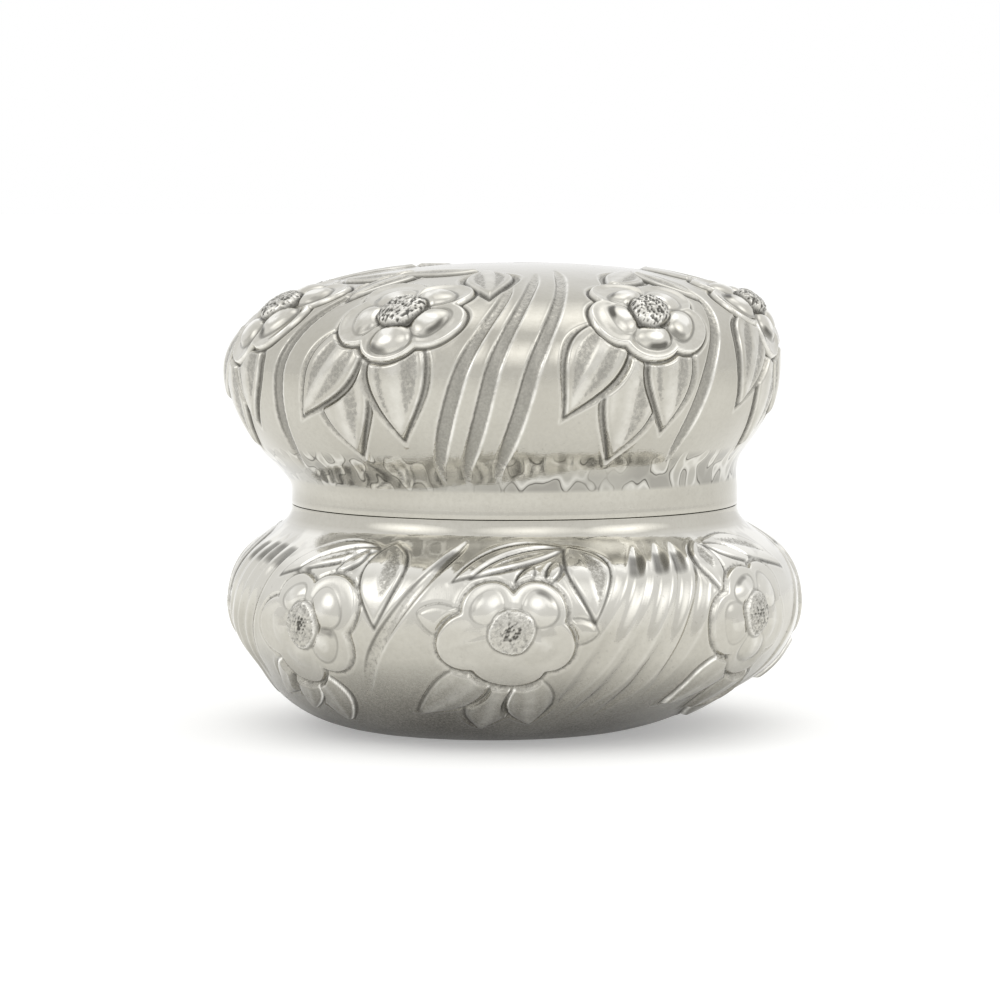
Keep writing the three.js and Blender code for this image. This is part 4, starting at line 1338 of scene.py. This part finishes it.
def turned_silver(tint, worn, roughness, centre_x=0.0):
    """Plain silver with the fine rings that the lathe and polishing cloth leave."""

    def work(net):
        where = net.place()
        x, y, z = net.node("SeparateXYZ", {0: where}).outputs
        x = net.maths("SUBTRACT", x, centre_x * MM)
        square = net.plus(net.maths("POWER", x, 2.0), net.maths("POWER", y, 2.0))
        flat = net.node("CombineXYZ", {0: net.maths("SQRT", square), 1: z}).outputs[0]
        scuff = net.streaks(where, "scuff")
        clouds = net.read(net.noise(where, "lathe_cloud"), "lathe_worn")
        rough = net.plus(net.read(net.noise(where, "cloth"), "cloth"), roughness)
        rough = net.plus(rough, net.read(scuff, "scuff"))
        marks = [(net.noise(flat, "lathe"), "lathe"), (scuff, "scuff")]
        return net.mixed(clouds, tint, worn), rough, net.carved(marks)

    return work


def solder(net):
    """The dull, slightly pitted seam where a ring or the disc is soldered in."""
    where = net.place()
    blot = net.noise(where, "blot")
    marks = [(net.noise(where, "solder_pits"), "solder_pits")]
    return net.mixed(blot, SOLDER_LIGHT, SOLDER_DARK), net.read(blot, "solder"), net.carved(marks)


# The box


def make_box():
    chased = metal("chased_silver", chased_silver)
    plain = metal("plain_silver", turned_silver(POLISH, WARM, RING_ROUGHNESS))
    bright = metal("collar_silver", turned_silver(COLLAR_TINT, WARM, COLLAR_ROUGHNESS))
    disc = metal("disc_silver", turned_silver(DISC_TINT, DISC_WORN, DISC_ROUGHNESS, FOOT_LEAN))
    seam = metal("solder", solder)
    ring_bottom = SEAM_HEIGHT - RING_HEIGHT
    lid = wall_mesh("lid_wall", lid_relief(), LID_ZONES, LID_LINING_ZONES, False)
    base = wall_mesh("base_wall", base_relief(), BASE_ZONES, BASE_LINING_ZONES, True)
    lid_ring = turned_mesh("lid_ring", ring_section(LID_EDGE, True))
    base_ring = turned_mesh("base_ring", ring_section(ring_bottom, False))
    collar = turned_mesh("collar", collar_section())
    foot_disc = turned_mesh("foot_disc", disc_section(), FOOT_LEAN)
    show(lid, "lid", chased, "lid_shell")
    show(base, "base", chased, "base_shell")
    show(lid_ring, "lid", plain, "lid_mouth_ring")
    show(base_ring, "base", plain, "base_mouth_ring")
    show(collar, "base", bright, "locating_collar")
    show(foot_disc, "base", disc, "bottom_disc")
    wall_inside = WAIST_RADIUS - GAUGE
    seams = (
        ("lid_ring_seam", (wall_inside, LID_EDGE + RING_HEIGHT, -1, 1), 0.0, "lid"),
        ("base_ring_seam", (wall_inside, ring_bottom, -1, -1), 0.0, "base"),
        ("collar_seam", (COLLAR_OUTER, SEAM_HEIGHT, 1, 1), 0.0, "base"),
        ("disc_seam", (DISC_RADIUS + SOLDER_GAP, DISC_GAUGE, -1, 1), FOOT_LEAN, "base"),
    )
    for name, corner, centre_x, body in seams:
        mesh = turned_mesh(name, solder_section(*corner), centre_x)
        show(mesh, body, seam)


# Floor, background, lamps and camera

WHITE = (1, 1, 1, 1)
FLOOR_COLOUR = (0.74, 0.74, 0.73, 1)
FLOOR_GLOW = 0.33
FLOOR_REACH = 6.0
FLOOR_ROUGHNESS = 0.8
FLOOR_SPECULAR = 0.1
WORLD_LIGHT = 1.0


def seen_plainly(net):
    """One for camera, glossy and transmission rays, nought for the rest."""
    path = net.node("LightPath").outputs
    seen = net.most(path["Is Camera Ray"], path["Is Glossy Ray"])
    return net.most(seen, path["Is Transmission Ray"])


def make_floor():
    material, net, shader = new_material("pale_floor")
    shader.inputs["Base Color"].default_value = FLOOR_COLOUR
    shader.inputs["Roughness"].default_value = FLOOR_ROUGHNESS
    shader.inputs["Specular IOR Level"].default_value = FLOOR_SPECULAR
    glow = {"Color": WHITE, "Strength": net.times(seen_plainly(net), FLOOR_GLOW)}
    glow = net.node("Emission", glow).outputs[0]
    both = net.node("AddShader", {0: shader.outputs[0], 1: glow}).outputs[0]
    net.tree.links.new(both, net.tree.nodes["Material Output"].inputs["Surface"])
    corners = ((-1, -1), (1, -1), (1, 1), (-1, 1))
    mesh = bpy.data.meshes.new("floor")
    mesh.from_pydata([(x * FLOOR_REACH, y * FLOOR_REACH, 0) for x, y in corners], [], [(0, 1, 2, 3)])
    mesh.materials.append(material)
    floor = link("floor", mesh)


def make_world():
    world = bpy.data.worlds.new("studio")
    bpy.context.scene.world = world
    world.use_nodes = True
    background = world.node_tree.nodes["Background"]
    background.inputs["Color"].default_value = WHITE
    background.inputs["Strength"].default_value = WORLD_LIGHT


LAMP_DISTANCE = 0.95
LAMP_TARGET = (0, 0, 0.05)

# Lamps: azimuth from the camera's side, elevation, half angle, and radiance in the middle
LAMPS = dict(
    front_box=(8, 42, 26, 0.9),
    left_box=(-62, 34, 24, 1.2),
    right_box=(66, 36, 24, 1.2),
    top_box=(150, 72, 26, 0.9),
)


def aim(thing, place, target):
    thing.location = place
    step = [b - a for a, b in zip(place, target)]
    thing.rotation_euler = Vector(step).to_track_quat("-Z", "Y").to_euler()


def add_lamp(name, azimuth, elevation, half_angle, radiance):
    """A gridded soft box facing the object: brightest in its middle, fading out to its edges."""
    turn, rise = math.radians(azimuth), math.radians(elevation)
    place = [
        LAMP_DISTANCE * math.sin(turn) * math.cos(rise),
        -LAMP_DISTANCE * math.cos(turn) * math.cos(rise),
        LAMP_TARGET[2] + LAMP_DISTANCE * math.sin(rise),
    ]
    half = math.radians(half_angle)
    reach = math.tan(half)
    lamp = bpy.data.lights.new(name, "AREA")
    lamp.shape = "DISK"
    lamp.size = 2 * LAMP_DISTANCE * reach
    lamp.spread = 2 * half
    area = math.pi * (LAMP_DISTANCE * reach) ** 2
    lamp.energy = radiance * math.pi * area * (reach - half) / reach
    aim(link(name, lamp), place, LAMP_TARGET)


LENS = 162.52
SENSOR = 36
CAMERA_PLACE = (-0.0029, -0.9, 0.117)
CAMERA_TARGET = (-0.0029, 0, 0.0448)
CLIP_RANGE = (0.01, 50)


def make_camera():
    camera = bpy.data.cameras.new("camera")
    camera.lens = LENS
    camera.sensor_width = SENSOR
    camera.clip_start, camera.clip_end = CLIP_RANGE
    thing = link("camera", camera)
    aim(thing, CAMERA_PLACE, CAMERA_TARGET)
    bpy.context.scene.camera = thing


make_box()
make_floor()
make_world()
for lamp_name, lamp_settings in LAMPS.items():
    add_lamp(lamp_name, *lamp_settings)
make_camera()
bpy.context.scene.view_settings.view_transform = "Standard"
